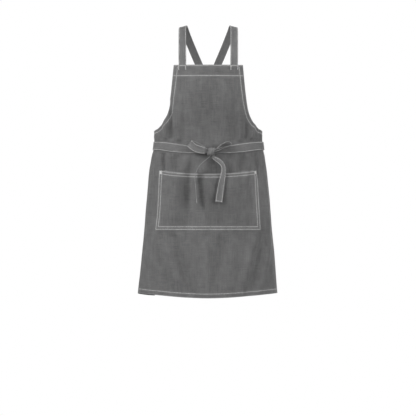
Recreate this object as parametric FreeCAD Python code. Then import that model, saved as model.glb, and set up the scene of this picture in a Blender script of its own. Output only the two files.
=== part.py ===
import FreeCAD, Part
import math
import os
from FreeCAD import Base, Vector

# Artist's cross-back smock apron, worn shape, in millimetres.
# +X is the wearer's left, -Y is the front and +Z is up. Heights in this file are counted from the lowest
# point of the hem at the centre front; every solid is lowered at the end so that the origin lies midway
# between the two shoulders, where the straps rest.

FRONT_LENGTH = 850.0        # top edge of the bib to the hem, centre front
BIB_HALF_WIDTH = 126.0      # seen from the front, at the top edge
WAIST_HEIGHT = 565.0
WING_TOP = 598.0            # top corner of each back wing
WING_HALF_GIRTH = 360.0     # centre front to back edge, along the cloth, at the wing top
HEM_HALF_GIRTH = 420.0      # the same at the hem
SHOULDER_HEIGHT = 993.0     # underside of the straps where they rest on the shoulders

CLOTH = 0.9                 # thickness of one layer of the main cloth
GAP = 0.25                  # clearance between sewn layers
STRAP_WIDTH = 28.0
STRAP_THICKNESS = 1.6       # a tube of cloth pressed flat
TIE_WIDTH = 30.0
TIE_THICKNESS = 1.4
THREAD_WIDTH = 0.8
THREAD_HEIGHT = 0.4
THREAD_LIFT = 0.05          # clearance under the thread

BAND_HEIGHT = 41.0          # facing behind the top edge of the bib
ARMHOLE_FACING_TOP = 17.0
ARMHOLE_FACING_END = 10.0
HEM_TURN = 17.0
BACK_TURN = 13.0

POCKET_TOP = 465.5
POCKET_BOTTOM = 247.0
POCKET_TOP_HALF = 179.0     # seen from the front
POCKET_BOTTOM_HALF = 191.0
POCKET_SAG = 13.0           # droop of the mouth at the centre
POCKET_STAND = 13.0         # how far the mouth stands away from the apron at the centre
POCKET_ROWS = (3.0, 12.5)   # two rows of stitching, from the edge

KNOT_X = 11.0
KNOT_HEIGHT = 533.0
KNOT_RADIUS = 14.0
KNOT_HALF_HEIGHT = 13.5
KNOT_CLEAR = 2.2            # between the knot and the roots of the loops and tails

HEM_HALF_WIDTH = 256.0      # half the wearer's width at the hem
WIDTH_TAPER = 0.086         # how much that loses with each unit of height
WAIST_PINCH = 8.0           # and how much more at the waist, over this height either way
WAIST_SPREAD = 70.0

# Depth of the wearer in front of and behind the side line, at several heights
FRONT_DEPTH = [(0.0, 135.0), (400.0, 112.0), (565.0, 88.0), (730.0, 104.0), (850.0, 96.0)]
BACK_DEPTH = [(0.0, 120.0), (400.0, 95.0), (565.0, 74.0), (730.0, 88.0), (850.0, 80.0)]
ROUNDNESS = 2.2             # superellipse exponent of the level sections
SECTION_STEPS = 400
GIRTH_STEP = 20.0           # spacing of the surface's control points round the body
HEIGHT_STEP = 30.0
SAME_WAY = 1                # join two edges in the direction both of them run


# ---------------------------------------------------------------- the wearer's shape

def smooth_value(table, height):
    """A smooth curve through the table's rows, straight beyond its ends."""
    if height <= table[0][0]:
        low, high = table[0], table[1]
        return low[1] + (high[1] - low[1]) * (height - low[0]) / (high[0] - low[0]) * 0.5
    if height >= table[-1][0]:
        low, high = table[-2], table[-1]
        return high[1] + (high[1] - low[1]) * (height - high[0]) / (high[0] - low[0]) * 0.5
    row = max(i for i in range(len(table) - 1) if table[i][0] <= height)
    slopes = []
    for i in (row, row + 1):
        before = table[max(i - 1, 0)]
        after = table[min(i + 1, len(table) - 1)]
        slopes.append((after[1] - before[1]) / (after[0] - before[0]))
    span = table[row + 1][0] - table[row][0]
    t = (height - table[row][0]) / span
    return (
        (2 * t**3 - 3 * t**2 + 1) * table[row][1]
        + (t**3 - 2 * t**2 + t) * span * slopes[0]
        + (3 * t**2 - 2 * t**3) * table[row + 1][1]
        + (t**3 - t**2) * span * slopes[1]
    )


def half_width(height):
    """Half the width of the body from side to side."""
    from_waist = (height - WAIST_HEIGHT) / WAIST_SPREAD
    return HEM_HALF_WIDTH - WIDTH_TAPER * height - WAIST_PINCH * math.exp(-(from_waist**2))


sections = {}


def section(height):
    """Half of the level section, from the centre front to the centre back, as (arc length, x, y) rows."""
    key = round(height, 4)
    if key not in sections:
        wide = half_width(height)
        front = smooth_value(FRONT_DEPTH, height)
        back = smooth_value(BACK_DEPTH, height)
        rows = []
        arc = 0.0
        for i in range(SECTION_STEPS + 1):
            angle = math.pi * i / SECTION_STEPS
            x = wide * abs(math.sin(angle)) ** (2 / ROUNDNESS)
            along = abs(math.cos(angle)) ** (2 / ROUNDNESS)
            y = -front * along if angle < math.pi / 2 else back * along
            if rows:
                arc += math.hypot(x - rows[-1][1], y - rows[-1][2])
            rows.append((arc, x, y))
        sections[key] = rows
    return sections[key]


def half_girth(height):
    return section(height)[-1][0]


def look_up(rows, column, value):
    """The row, interpolated, at which the column reaches the value."""
    low, high = 0, len(rows) - 1
    while high - low > 1:
        middle = (low + high) // 2
        if rows[middle][column] <= value:
            low = middle
        else:
            high = middle
    span = rows[high][column] - rows[low][column]
    t = (value - rows[low][column]) / span if span else 0.0
    return [a + (b - a) * t for a, b in zip(rows[low], rows[high])]


def on_section(girth, height):
    """The point that lies the given length round the body from the centre front, positive to +X."""
    rows = section(height)
    half = rows[-1][0]
    girth = (girth + half) % (2 * half) - half
    arc, x, y = look_up(rows, 0, abs(girth))
    return math.copysign(x, girth), y


def body_point(girth, height, offset):
    """A point of the cloth, the given distance outside the body."""
    x0, y0 = on_section(girth - 2.0, height)
    x1, y1 = on_section(girth + 2.0, height)
    x, y = on_section(girth, height)
    length = math.hypot(x1 - x0, y1 - y0)
    return Vector(x + offset * (y1 - y0) / length, y - offset * (x1 - x0) / length, height)


def girth_at(x, height):
    """The length round the body from the centre front to a point seen at x from the front."""
    quarter = section(height)[: SECTION_STEPS // 2 + 1]
    if x >= quarter[-1][1]:
        return quarter[-1][0]
    return look_up(quarter, 1, x)[0]


# ---------------------------------------------------------------- sheets of cloth on that shape

def even_knots(low, high, step):
    count = int(round((high - low) / step))
    return [low + (high - low) * i / count for i in range(count + 1)]


def pole_places(knots):
    """Where a cubic spline's control points sit, so that its parameter is the distance itself."""
    padded = [knots[0]] * 3 + knots + [knots[-1]] * 3
    return [sum(padded[i + 1:i + 4]) / 3.0 for i in range(len(padded) - 4)]


def cloth_surface(offset, girths=(-480.0, 480.0), heights=(-40.0, 890.0)):
    """The body's surface pushed out by offset, a number or a function of (girth, height)."""
    knots_u = even_knots(girths[0], girths[1], GIRTH_STEP)
    knots_v = even_knots(heights[0], heights[1], HEIGHT_STEP)
    places_u, places_v = pole_places(knots_u), pole_places(knots_v)
    points = []
    for u in places_u:
        points.append([body_point(u, v, offset(u, v) if callable(offset) else offset) for v in places_v])
    # Each pole is pushed out by a sixth of the local bend each way: the spline then passes through the points
    poles = [list(column) for column in points]
    for i in range(3, len(places_u) - 3):
        for j in range(len(places_v)):
            poles[i][j] -= (points[i - 1][j] + points[i + 1][j] - 2 * points[i][j]) / 6.0
    for i in range(len(places_u)):
        for j in range(3, len(places_v) - 3):
            poles[i][j] -= (points[i][j - 1] + points[i][j + 1] - 2 * points[i][j]) / 6.0
    surface = Part.BSplineSurface()
    ends_u = [4] + [1] * (len(knots_u) - 2) + [4]
    ends_v = [4] + [1] * (len(knots_v) - 2) + [4]
    surface.buildFromPolesMultsKnots(poles, ends_u, ends_v, knots_u, knots_v, False, False, 3, 3)
    return surface


def line(start, end):
    return Part.Geom2d.Line2dSegment(Base.Vector2d(*start), Base.Vector2d(*end))


def curve(points):
    spline = Part.Geom2d.BSplineCurve2d()
    spline.interpolate([Base.Vector2d(*p) for p in points])
    return spline


def trimmed(surface, outline):
    """A copy of the surface, cut down to little more than the outline needs."""
    ends = []
    for edge in outline:
        for i in range(9):
            span = edge.LastParameter - edge.FirstParameter
            ends.append(edge.value(edge.FirstParameter + span * i / 8.0))
    u0, u1, v0, v1 = surface.bounds()
    small = surface.copy()
    small.segment(
        max(u0, min(p.x for p in ends) - GIRTH_STEP),
        min(u1, max(p.x for p in ends) + GIRTH_STEP),
        max(v0, min(p.y for p in ends) - HEIGHT_STEP),
        min(v1, max(p.y for p in ends) + HEIGHT_STEP),
    )
    return small


def closed_solid(faces):
    shell = Part.makeShell(faces)
    shell.sewShape()
    solid = Part.Solid(shell)
    if solid.Volume < 0:
        solid.reverse()
    return solid


def sheet(outline, inner, outer):
    """A solid piece of cloth: the outline, in (girth, height), between two surfaces."""
    inner, outer = trimmed(inner, outline), trimmed(outer, outline)
    inside = [edge.toShape(inner) for edge in outline]
    outside = [edge.toShape(outer) for edge in outline]
    faces = [Part.Face(inner, Part.Wire(inside)), Part.Face(outer, Part.Wire(outside))]
    for a, b in zip(inside, outside):
        faces.append(Part.makeRuledSurface(a, b, SAME_WAY))
    return closed_solid(faces)


def shifted(points, distance):
    """The points moved sideways, to the left of their direction, by a number or one number each."""
    moved = []
    for i, (u, v) in enumerate(points):
        u0, v0 = points[max(i - 1, 0)]
        u1, v1 = points[min(i + 1, len(points) - 1)]
        length = math.hypot(u1 - u0, v1 - v0)
        d = distance[i] if isinstance(distance, list) else distance
        moved.append((u - d * (v1 - v0) / length, v + d * (u1 - u0) / length))
    return moved


def path_edge(points):
    return curve(points) if len(points) > 2 else line(*points)


def band(points, left, right):
    """The outline of a band along a path, from left to right of it, in distances to its left."""
    one, other = shifted(points, right), shifted(points, left)[::-1]
    return [path_edge(one), line(one[-1], other[0]), path_edge(other), line(other[-1], one[0])]


def mirrored(points):
    return [(-u, v) for u, v in points]


def thread_surfaces(offset, **reach):
    """Inner and outer surfaces of thread lying on cloth whose outer face is at the given offset."""
    if callable(offset):
        def low(u, v):
            return offset(u, v) + THREAD_LIFT

        def high(u, v):
            return offset(u, v) + THREAD_LIFT + THREAD_HEIGHT
    else:
        low, high = offset + THREAD_LIFT, offset + THREAD_LIFT + THREAD_HEIGHT
    return cloth_surface(low, **reach), cloth_surface(high, **reach)


def thread(points, surfaces):
    """A row of stitching along a path."""
    return sheet(band(points, THREAD_WIDTH / 2, -THREAD_WIDTH / 2), *surfaces)


def box_rows(centre, along, length, width):
    """Four stitched rows round a box, turned so that its length lies along the given direction."""
    size = math.hypot(*along)
    a = (along[0] / size, along[1] / size)
    corners = []
    for i, j in ((-1, -1), (1, -1), (1, 1), (-1, 1)):
        x, y = i * length / 2, j * width / 2
        corners.append((centre[0] + a[0] * x - a[1] * y, centre[1] + a[1] * x + a[0] * y))
    rows = []
    for i in range(4):
        start, end = corners[i], corners[(i + 1) % 4]
        short = 1.0 - 1.0 / math.dist(start, end)
        rows.append([start, (start[0] + (end[0] - start[0]) * short, start[1] + (end[1] - start[1]) * short)])
    return rows


def between(start, end, count):
    return [
        (start[0] + (end[0] - start[0]) * i / count, start[1] + (end[1] - start[1]) * i / count)
        for i in range(count + 1)
    ]


# ---------------------------------------------------------------- ribbons in free space

def frames_along(stations):
    """(centre, across, out, width, distance) at each station of (centre, across direction, width)."""
    frames = []
    distance = 0.0
    for i, (centre, across, width) in enumerate(stations):
        along = stations[min(i + 1, len(stations) - 1)][0] - stations[max(i - 1, 0)][0]
        along.normalize()
        out = across.cross(along)
        out.normalize()
        if i:
            distance += (centre - stations[i - 1][0]).Length
        frames.append((centre, along.cross(out), out, width, distance))
    return frames


def ribbon(frames, low, high, left=None, right=None):
    """A solid strip along the frames, between two heights out of the ribbon's middle.

    left and right give the strip's edges for a ribbon of a given width; without them it is the full width.
    """
    corners = [[], [], [], []]
    for centre, across, out, width, distance in frames:
        a = left(width) if left else -width / 2
        b = right(width) if right else width / 2
        for row, (side, lift) in zip(corners, ((a, low), (b, low), (b, high), (a, high))):
            row.append(centre + across * side + out * lift)
    distances = [frame[-1] for frame in frames]
    edges = []
    for row in corners:
        spline = Part.BSplineCurve()
        spline.interpolate(Points=row, Parameters=distances)
        edges.append(spline.toShape())
    faces = [Part.makeRuledSurface(edges[i], edges[(i + 1) % 4], SAME_WAY) for i in range(4)]
    for end in (0, -1):
        ring = [row[end] for row in corners]
        faces.append(Part.Face(Part.makePolygon(ring + ring[:1])))
    return closed_solid(faces)


def ribbon_threads(frames, thickness, inset=2.5):
    """Stitching along both edges of a ribbon, on its outer face."""
    low = thickness / 2 + THREAD_LIFT
    rows = []
    for side in (-1, 1):
        rows.append(
            ribbon(
                frames,
                low,
                low + THREAD_HEIGHT,
                left=lambda width, side=side: side * (width / 2 - inset) - THREAD_WIDTH / 2,
                right=lambda width, side=side: side * (width / 2 - inset) + THREAD_WIDTH / 2,
            )
        )
    return rows


def smooth_stations(table, count):
    """Evenly spread stations on a smooth curve through (x, y, height, across x, y, z, width) rows."""
    distances = [0.0]
    for a, b in zip(table, table[1:]):
        distances.append(distances[-1] + math.dist(a[:3], b[:3]))
    columns = [[(d, row[i]) for d, row in zip(distances, table)] for i in range(7)]
    stations = []
    for i in range(count + 1):
        d = distances[-1] * i / count * 0.999999
        x, y, z, ax, ay, az, width = (smooth_value(column, d) for column in columns)
        stations.append((Vector(x, y, z), Vector(ax, ay, az), width))
    return stations


# ---------------------------------------------------------------- outlines of the pattern pieces

def hem_height(girth):
    """The hem rises a little towards the sides and drops again behind them."""
    return 15.0 * math.sin(math.pi * girth / 600.0) ** 2


def edge_x(drop):
    """Half the bib's width, seen from the front, the given distance below its top edge."""
    return BIB_HALF_WIDTH + 0.1 * drop + 50.0 * (drop / 243.0) ** 7


def armhole(start_drop=0.0):
    """The right armhole edge, from the bib down and round to the wing's top corner."""
    lower = (60.0, 110.0, 150.0, 180.0, 205.0, 222.0, 233.0)
    drops = [start_drop] + [d for d in lower if d > start_drop + 15.0]
    points = [(girth_at(edge_x(d), FRONT_LENGTH - d), FRONT_LENGTH - d) for d in drops]
    return points + [(246.0, 607.5), (285.0, 601.5), (325.0, 599.0), (WING_HALF_GIRTH, WING_TOP)]


def pocket_stand(girth, height):
    """How far the pocket stands off the apron: most at the middle of the mouth, nothing at the seams."""
    up = min(max((height - POCKET_BOTTOM - 14.0) / (POCKET_TOP - POCKET_BOTTOM - 14.0), 0.0), 1.0)
    aside = min(abs(girth) / 200.0, 1.0)
    return POCKET_STAND * (1 - aside**2) ** 2 * (3 * up**2 - 2 * up**3)


WING_CORNER = (WING_HALF_GIRTH, WING_TOP)
HEM_CORNER = (HEM_HALF_GIRTH, hem_height(HEM_HALF_GIRTH))
BIB_CORNER = (girth_at(BIB_HALF_WIDTH, FRONT_LENGTH), FRONT_LENGTH)

hem_points = [(u, hem_height(u)) for u in even_knots(-HEM_HALF_GIRTH, HEM_HALF_GIRTH, 70.0)]
armhole_points = armhole()

body_outline = [
    curve(hem_points),
    line(HEM_CORNER, WING_CORNER),
    curve(armhole_points[::-1]),
    line(BIB_CORNER, (-BIB_CORNER[0], FRONT_LENGTH)),
    curve(mirrored(armhole_points)),
    line((-WING_HALF_GIRTH, WING_TOP), (-HEM_HALF_GIRTH, HEM_CORNER[1])),
]

pocket_top_corner = (girth_at(POCKET_TOP_HALF, POCKET_TOP), POCKET_TOP)
pocket_bottom_corner = (girth_at(POCKET_BOTTOM_HALF, POCKET_BOTTOM), POCKET_BOTTOM)


def pocket_mouth(inset):
    """The mouth line, a given distance below the pocket's top edge."""
    points = []
    for i in range(-4, 5):
        u = (pocket_top_corner[0] + inset * 0.06) * i / 4.0
        points.append((u, POCKET_TOP - inset - POCKET_SAG * (1 - (i / 4.0) ** 2)))
    return points


pocket_outline = [
    line((-pocket_bottom_corner[0], POCKET_BOTTOM), pocket_bottom_corner),
    line(pocket_bottom_corner, pocket_top_corner),
    curve(pocket_mouth(0.0)[::-1]),
    line((-pocket_top_corner[0], POCKET_TOP), (-pocket_bottom_corner[0], POCKET_BOTTOM)),
]

# ---------------------------------------------------------------- the sewn cloth

nodes = {}

face_in, face_out = cloth_surface(0.0), cloth_surface(CLOTH)
lining_in, lining_out = cloth_surface(-GAP - CLOTH), cloth_surface(-GAP)
front_thread = thread_surfaces(CLOTH)

nodes["body_panel"] = [sheet(body_outline, face_in, face_out)]

band_bottom = FRONT_LENGTH - BAND_HEIGHT
band_corner = (girth_at(edge_x(BAND_HEIGHT), band_bottom) - 1.0, band_bottom)
nodes["bib_top_facing"] = [
    sheet(
        [
            line((-band_corner[0], band_bottom), band_corner),
            line(band_corner, (BIB_CORNER[0] - 1.0, FRONT_LENGTH)),
            line((BIB_CORNER[0] - 1.0, FRONT_LENGTH), (1.0 - BIB_CORNER[0], FRONT_LENGTH)),
            line((1.0 - BIB_CORNER[0], FRONT_LENGTH), (-band_corner[0], band_bottom)),
        ],
        lining_in,
        lining_out,
    )
]

facing_path = armhole(BAND_HEIGHT + 2.0)
facing_widths = [
    ARMHOLE_FACING_TOP + (ARMHOLE_FACING_END - ARMHOLE_FACING_TOP) * i / (len(facing_path) - 1)
    for i in range(len(facing_path))
]
stitch_path = armhole(5.0)
stitch_insets = [
    ARMHOLE_FACING_TOP - 1.5 + (ARMHOLE_FACING_END - ARMHOLE_FACING_TOP) * i / (len(stitch_path) - 1)
    for i in range(len(stitch_path))
]
stitch_points = shifted(stitch_path, [-d for d in stitch_insets])
for name, flip in (("left", mirrored), ("right", list)):
    edge = flip(facing_path)
    inner_edge = flip(shifted(facing_path, [-d for d in facing_widths]))
    nodes[name + "_armhole_facing"] = [
        sheet(
            [
                curve(edge),
                line(edge[-1], inner_edge[-1]),
                curve(inner_edge[::-1]),
                line(inner_edge[0], edge[0]),
            ],
            lining_in,
            lining_out,
        )
    ]

turn_path = [(u, hem_height(u)) for u in even_knots(-HEM_HALF_GIRTH + 1.0, HEM_HALF_GIRTH - 1.0, 70.0)]
nodes["bottom_hem_turn"] = [sheet(band(turn_path, HEM_TURN, 0.3), lining_in, lining_out)]

turn_low, turn_high = (418.0, HEM_CORNER[1] + HEM_TURN + 4.0), (361.2, 586.0)
for name, flip in (("left", mirrored), ("right", list)):
    edge = flip([turn_low, turn_high])
    inward = BACK_TURN if name == "right" else -BACK_TURN
    nodes[name + "_back_edge_turn"] = [sheet(band(edge, inward, inward * 0.03), lining_in, lining_out)]

# ---------------------------------------------------------------- the pocket


def pocket_face(lift):
    return lambda u, v: CLOTH + GAP + lift + pocket_stand(u, v)


pocket_reach = {"girths": (-280.0, 280.0), "heights": (110.0, 620.0)}
pocket_in = cloth_surface(pocket_face(0.0), **pocket_reach)
pocket_out = cloth_surface(pocket_face(CLOTH), **pocket_reach)
nodes["pocket_panel"] = [sheet(pocket_outline, pocket_in, pocket_out)]

mouth_top, mouth_low = pocket_mouth(0.4), pocket_mouth(16.0)
mouth_ends = [(row[-1][0] - 21.0, row[-1][1] - 3.0) for row in (mouth_top, mouth_low)]
mouth_top = [mirrored(mouth_ends[:1])[0]] + mouth_top[1:-1] + [mouth_ends[0]]
mouth_low = [mirrored(mouth_ends[1:])[0]] + mouth_low[1:-1] + [mouth_ends[1]]
turn_in = cloth_surface(pocket_face(-GAP - CLOTH), **pocket_reach)
turn_out = cloth_surface(pocket_face(-GAP), **pocket_reach)
nodes["pocket_mouth_turn"] = [
    sheet(
        [
            curve(mouth_low),
            line(mouth_low[-1], mouth_top[-1]),
            curve(mouth_top[::-1]),
            line(mouth_top[0], mouth_low[0]),
        ],
        turn_in,
        turn_out,
    )
]

# ---------------------------------------------------------------- shoulder straps, crossing at the back

INSIDE_FACING = -GAP - CLOTH - 1.0 - STRAP_THICKNESS / 2
strap_foot_x = BIB_HALF_WIDTH - 31.0
WING_FOOT = (345.0, 603.0)          # where the strap's middle meets the wing: length round the body, height


def strap_table(lay):
    """The strap that starts at the left of the bib and ends on the right wing.

    lay is how far it lies outside the other one where they cross at the back.
    """
    rows = []
    for height in (813.0, 831.0, 849.0):
        point = body_point(-girth_at(strap_foot_x, height), height, INSIDE_FACING)
        ahead = body_point(-girth_at(strap_foot_x - 10.0, height), height, INSIDE_FACING)
        across = ahead - point
        across.normalize()
        rows.append((point.x, point.y, height, across.x, across.y, across.z, STRAP_WIDTH))
    rows += [
        (-95.0, -67.0, 893.0, 1.0, 0.1, 0.0, STRAP_WIDTH),
        (-95.0, -46.0, 943.0, 1.0, 0.0, 0.0, STRAP_WIDTH),
        (-95.0, -28.0, 979.0, 1.0, 0.0, 0.05, STRAP_WIDTH),
        (-94.0, -12.0, 993.0, 0.98, 0.0, 0.18, STRAP_WIDTH),
        (-92.0, 3.0, 996.0, 0.96, 0.0, 0.28, STRAP_WIDTH),
        (-88.5, 17.0, 990.0, 0.94, 0.0, 0.34, STRAP_WIDTH),
        (-81.5, 32.0, 971.0, 0.93, 0.0, 0.38, STRAP_WIDTH),
        (-65.0, 54.0, 930.0, 0.91, 0.0, 0.41, STRAP_WIDTH),
        (-40.0, 74.0, 872.0, 0.91, 0.0, 0.41, STRAP_WIDTH),
        (1.0, 84.0 + lay, 780.0, 0.89, 0.0, 0.45, STRAP_WIDTH),
        (45.0, 78.0 + lay * 0.6, 709.0, 0.86, -0.04, 0.50, STRAP_WIDTH),
        (83.0, 69.0, 651.0, 0.84, -0.12, 0.53, STRAP_WIDTH),
    ]
    for along in (0.0, 13.0, 26.0, 40.0):
        girth, height = WING_FOOT[0] - 0.53 * along, WING_FOOT[1] - 0.85 * along
        point = body_point(girth, height, INSIDE_FACING)
        ahead = body_point(girth - 8.5, height + 5.3, INSIDE_FACING)
        across = ahead - point
        across.normalize()
        rows.append((point.x, point.y, height, across.x, across.y, across.z, STRAP_WIDTH))
    return rows


def mirror_solid(shape):
    copy = shape.mirror(Vector(0, 0, 0), Vector(1, 0, 0))
    if copy.Volume < 0:
        copy.reverse()
    return copy


strap_edges = []
for name, lay in (("left", 3.0), ("right", 0.0)):
    frames = frames_along(smooth_stations(strap_table(lay), 44))
    strap = ribbon(frames, -STRAP_THICKNESS / 2, STRAP_THICKNESS / 2)
    threads = ribbon_threads(frames[5:-7], STRAP_THICKNESS)
    if name == "right":
        strap = mirror_solid(strap)
        threads = [mirror_solid(row) for row in threads]
    nodes[name + "_shoulder_strap"] = [strap]
    strap_edges += threads
nodes["strap_edge_stitching"] = strap_edges

# ---------------------------------------------------------------- waist ties, crossing at the back

# (length round the body from the centre front, height) of the tie sewn to the left wing, drawn as if on +X
tie_reach = {"girths": (280.0, 960.0), "heights": (410.0, 710.0)}
front_end = 2 * half_girth(KNOT_HEIGHT + 1.0) - KNOT_X
side_line = 2 * half_girth(556.0) - section(556.0)[SECTION_STEPS // 2][0]
tie_path = [
    (334.0, 574.0),
    (372.0, 571.5),
    (425.0, 563.0),
    (half_girth(556.0), 555.5),
    (520.0, 548.5),
    (590.0, 547.0),
    (side_line - 40.0, 552.5),
    (side_line, 556.0),
    (side_line + 60.0, 554.5),
    (side_line + 120.0, 547.5),
    (front_end - 60.0, 540.0),
    (front_end - 22.0, 535.5),
    (front_end - 1.0, 533.5),
]
tie_halves = [TIE_WIDTH / 2] * 10 + [12.5, 9.0, 8.0]
# The right tie lies on the apron's stitching, and the left one on the right one's
RIGHT_TIE_LAY = CLOTH + 0.55
LEFT_TIE_LAY = RIGHT_TIE_LAY + TIE_THICKNESS + 0.5
TIE_LAY = {"left": LEFT_TIE_LAY, "right": RIGHT_TIE_LAY}


def to_side(points, name):
    """Paths drawn on +X, moved to the side of the body the piece starts on."""
    return mirrored(points) if name == "left" else list(points)


tie_edges = []
tie_ends = []
for name, lay in TIE_LAY.items():
    reach = dict(tie_reach)
    if name == "left":
        reach["girths"] = (-tie_reach["girths"][1], -tie_reach["girths"][0])
    low, high = cloth_surface(lay, **reach), cloth_surface(lay + TIE_THICKNESS, **reach)
    upper = to_side(shifted(tie_path, tie_halves), name)
    lower = to_side(shifted(tie_path, [-d for d in tie_halves]), name)
    nodes[name + "_waist_tie"] = [
        sheet(
            [curve(upper), line(upper[-1], lower[-1]), curve(lower[::-1]), line(lower[0], upper[0])],
            low,
            high,
        )
    ]
    surfaces = thread_surfaces(lay + TIE_THICKNESS, **reach)
    for sign in (-1, 1):
        row = shifted(tie_path, [sign * (d - 2.5) for d in tie_halves])
        tie_edges.append(thread(to_side(row[1:], name), surfaces))
    for row in box_rows((346.5, 573.5), (1.0, -0.06), 19.0, 22.0):
        tie_ends.append(thread(to_side(row, name), surfaces))
nodes["tie_edge_stitching"] = tie_edges
nodes["tie_end_stitching"] = tie_ends

# ---------------------------------------------------------------- the bow

knot_back = body_point(girth_at(KNOT_X, KNOT_HEIGHT), KNOT_HEIGHT, LEFT_TIE_LAY + TIE_THICKNESS + 0.55)
knot_y = knot_back.y - KNOT_RADIUS
knot_centre = Vector(KNOT_X, knot_y, KNOT_HEIGHT)
knot_profile = Part.BSplineCurve()
knot_profile.interpolate(
    [
        Vector(8.5, 0, -KNOT_HALF_HEIGHT),
        Vector(13.0, 0, -8.0),
        Vector(KNOT_RADIUS, 0, 0),
        Vector(13.0, 0, 8.0),
        Vector(8.5, 0, KNOT_HALF_HEIGHT),
    ]
)
profile_wire = Part.Wire(
    [
        Part.makeLine(Vector(0, 0, -KNOT_HALF_HEIGHT), Vector(8.5, 0, -KNOT_HALF_HEIGHT)),
        knot_profile.toShape(),
        Part.makeLine(Vector(8.5, 0, KNOT_HALF_HEIGHT), Vector(0, 0, KNOT_HALF_HEIGHT)),
        Part.makeLine(Vector(0, 0, KNOT_HALF_HEIGHT), Vector(0, 0, -KNOT_HALF_HEIGHT)),
    ]
)
knot = Part.Face(profile_wire).revolve(Vector(0, 0, 0), Vector(0, 0, 1), 360)
knot.translate(knot_centre)
nodes["bow_knot"] = [knot]

root_left = KNOT_X - KNOT_RADIUS - KNOT_CLEAR
root_right = KNOT_X + KNOT_RADIUS + KNOT_CLEAR
root_low = KNOT_HEIGHT - KNOT_HALF_HEIGHT - KNOT_CLEAR

# Each row: x, y counted from the knot's centre, height, the across direction, width
left_loop = [
    (root_left, -1.3, 535.0, 0.0, 0.0, 1.0, 17.0),
    (-17.0, -5.5, 537.0, 0.10, 0.0, 1.0, 25.0),
    (-34.0, -8.5, 541.0, 0.22, 0.0, 0.97, 28.0),
    (-51.0, -9.0, 547.5, 0.42, 0.0, 0.91, 28.0),
    (-63.0, -6.5, 557.5, 0.58, 0.0, 0.81, 28.0),
    (-69.0, 0.0, 563.5, 0.63, 0.0, 0.77, 28.0),
    (-62.5, 5.0, 561.0, 0.58, 0.0, 0.81, 28.0),
    (-49.0, 6.0, 555.5, 0.44, 0.0, 0.90, 28.0),
    (-32.0, 5.0, 548.0, 0.30, 0.0, 0.95, 26.0),
    (-16.0, 3.0, 541.0, 0.15, 0.0, 0.99, 20.0),
    (root_left, 1.3, 537.0, 0.0, 0.0, 1.0, 14.0),
]
right_loop = [
    (root_right, 0.0, 539.5, 0.0, -1.0, 0.0, 15.0),
    (37.0, 0.0, 550.0, 0.0, -1.0, 0.0, 23.0),
    (52.0, 0.0, 561.0, 0.0, -1.0, 0.0, 28.0),
    (68.0, 0.0, 568.0, 0.0, -1.0, 0.0, 28.0),
    (80.0, 0.0, 567.0, 0.0, -1.0, 0.0, 28.0),
    (84.0, 0.0, 560.5, 0.0, -1.0, 0.0, 28.0),
    (77.0, 0.0, 553.5, 0.0, -1.0, 0.0, 28.0),
    (62.0, 0.0, 548.0, 0.0, -1.0, 0.0, 28.0),
    (46.0, 0.0, 541.5, 0.0, -1.0, 0.0, 24.0),
    (root_right, 0.0, 533.5, 0.0, -1.0, 0.0, 15.0),
]
left_tail = [
    (5.0, 0.0, root_low - 2.0, 0.0, 1.0, 0.0, 14.0),
    (-5.0, -5.0, 506.0, 0.0, 1.0, 0.0, 20.0),
    (-19.0, -13.5, 494.0, 0.0, 1.0, 0.0, 26.0),
    (-31.5, -20.0, 480.5, 0.0, 1.0, 0.0, 28.0),
    (-41.0, -25.0, 465.0, 0.0, 1.0, 0.0, 28.0),
    (-46.5, -28.0, 449.0, 0.0, 1.0, 0.0, 28.0),
    (-47.8, -30.5, 430.0, 0.0, 1.0, 0.0, 28.0),
    (-46.0, -33.0, 405.0, 0.0, 1.0, 0.0, 28.0),
    (-43.5, -36.0, 374.0, 0.0, 1.0, 0.0, 28.0),
    (-41.4, -38.5, 344.5, 0.0, 1.0, 0.0, 28.0),
]
right_tail = [
    (17.5, 0.0, root_low - 4.5, -1.0, 0.0, 0.0, 12.0),
    (26.0, -3.0, 506.5, -0.80, 0.0, -0.60, 15.0),
    (41.0, -7.0, 497.0, -0.80, 0.0, -0.60, 17.0),
    (52.0, -10.5, 484.0, -0.95, 0.0, -0.30, 16.0),
    (56.0, -13.0, 468.0, -1.0, 0.0, 0.0, 16.5),
    (53.8, -15.0, 449.0, -1.0, 0.0, 0.10, 19.5),
    (50.0, -17.0, 428.0, -0.98, 0.0, 0.18, 22.0),
    (46.0, -19.0, 405.0, -0.98, 0.0, 0.18, 24.0),
    (42.0, -21.5, 378.0, -0.97, 0.0, 0.20, 25.5),
    (37.7, -24.5, 347.5, -0.96, 0.0, 0.24, 26.0),
]

for name, table, count in (
    ("left_bow_loop", left_loop, 30),
    ("right_bow_loop", right_loop, 30),
    ("left_tie_tail", left_tail, 22),
    ("right_tie_tail", right_tail, 22),
):
    rows = [(x, knot_y + y, *rest) for x, y, *rest in table]
    frames = frames_along(smooth_stations(rows, count))
    nodes[name] = [ribbon(frames, -TIE_THICKNESS / 2, TIE_THICKNESS / 2)]
    nodes[name + "_stitching"] = ribbon_threads(frames[3:-3] if "loop" in name else frames[3:], TIE_THICKNESS)

# ---------------------------------------------------------------- stitching and bar tacks

top_row = [(u, FRONT_LENGTH - 2.5) for u in even_knots(-BIB_CORNER[0] + 3.0, BIB_CORNER[0] - 3.0, 64.0)]
band_row = [(u, band_bottom + 1.5) for u in even_knots(-band_corner[0] + 18.5, band_corner[0] - 18.5, 56.0)]
nodes["bib_top_stitching"] = [thread(top_row, front_thread), thread(band_row, front_thread)]

nodes["armhole_stitching"] = [thread(flip(stitch_points[:-1]), front_thread) for flip in (mirrored, list)]

hem_row = [(u, hem_height(u) + 15.0) for u in even_knots(-HEM_HALF_GIRTH + 14.0, HEM_HALF_GIRTH - 14.0, 66.0)]
nodes["bottom_hem_stitching"] = [thread(hem_row, front_thread)]

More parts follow.
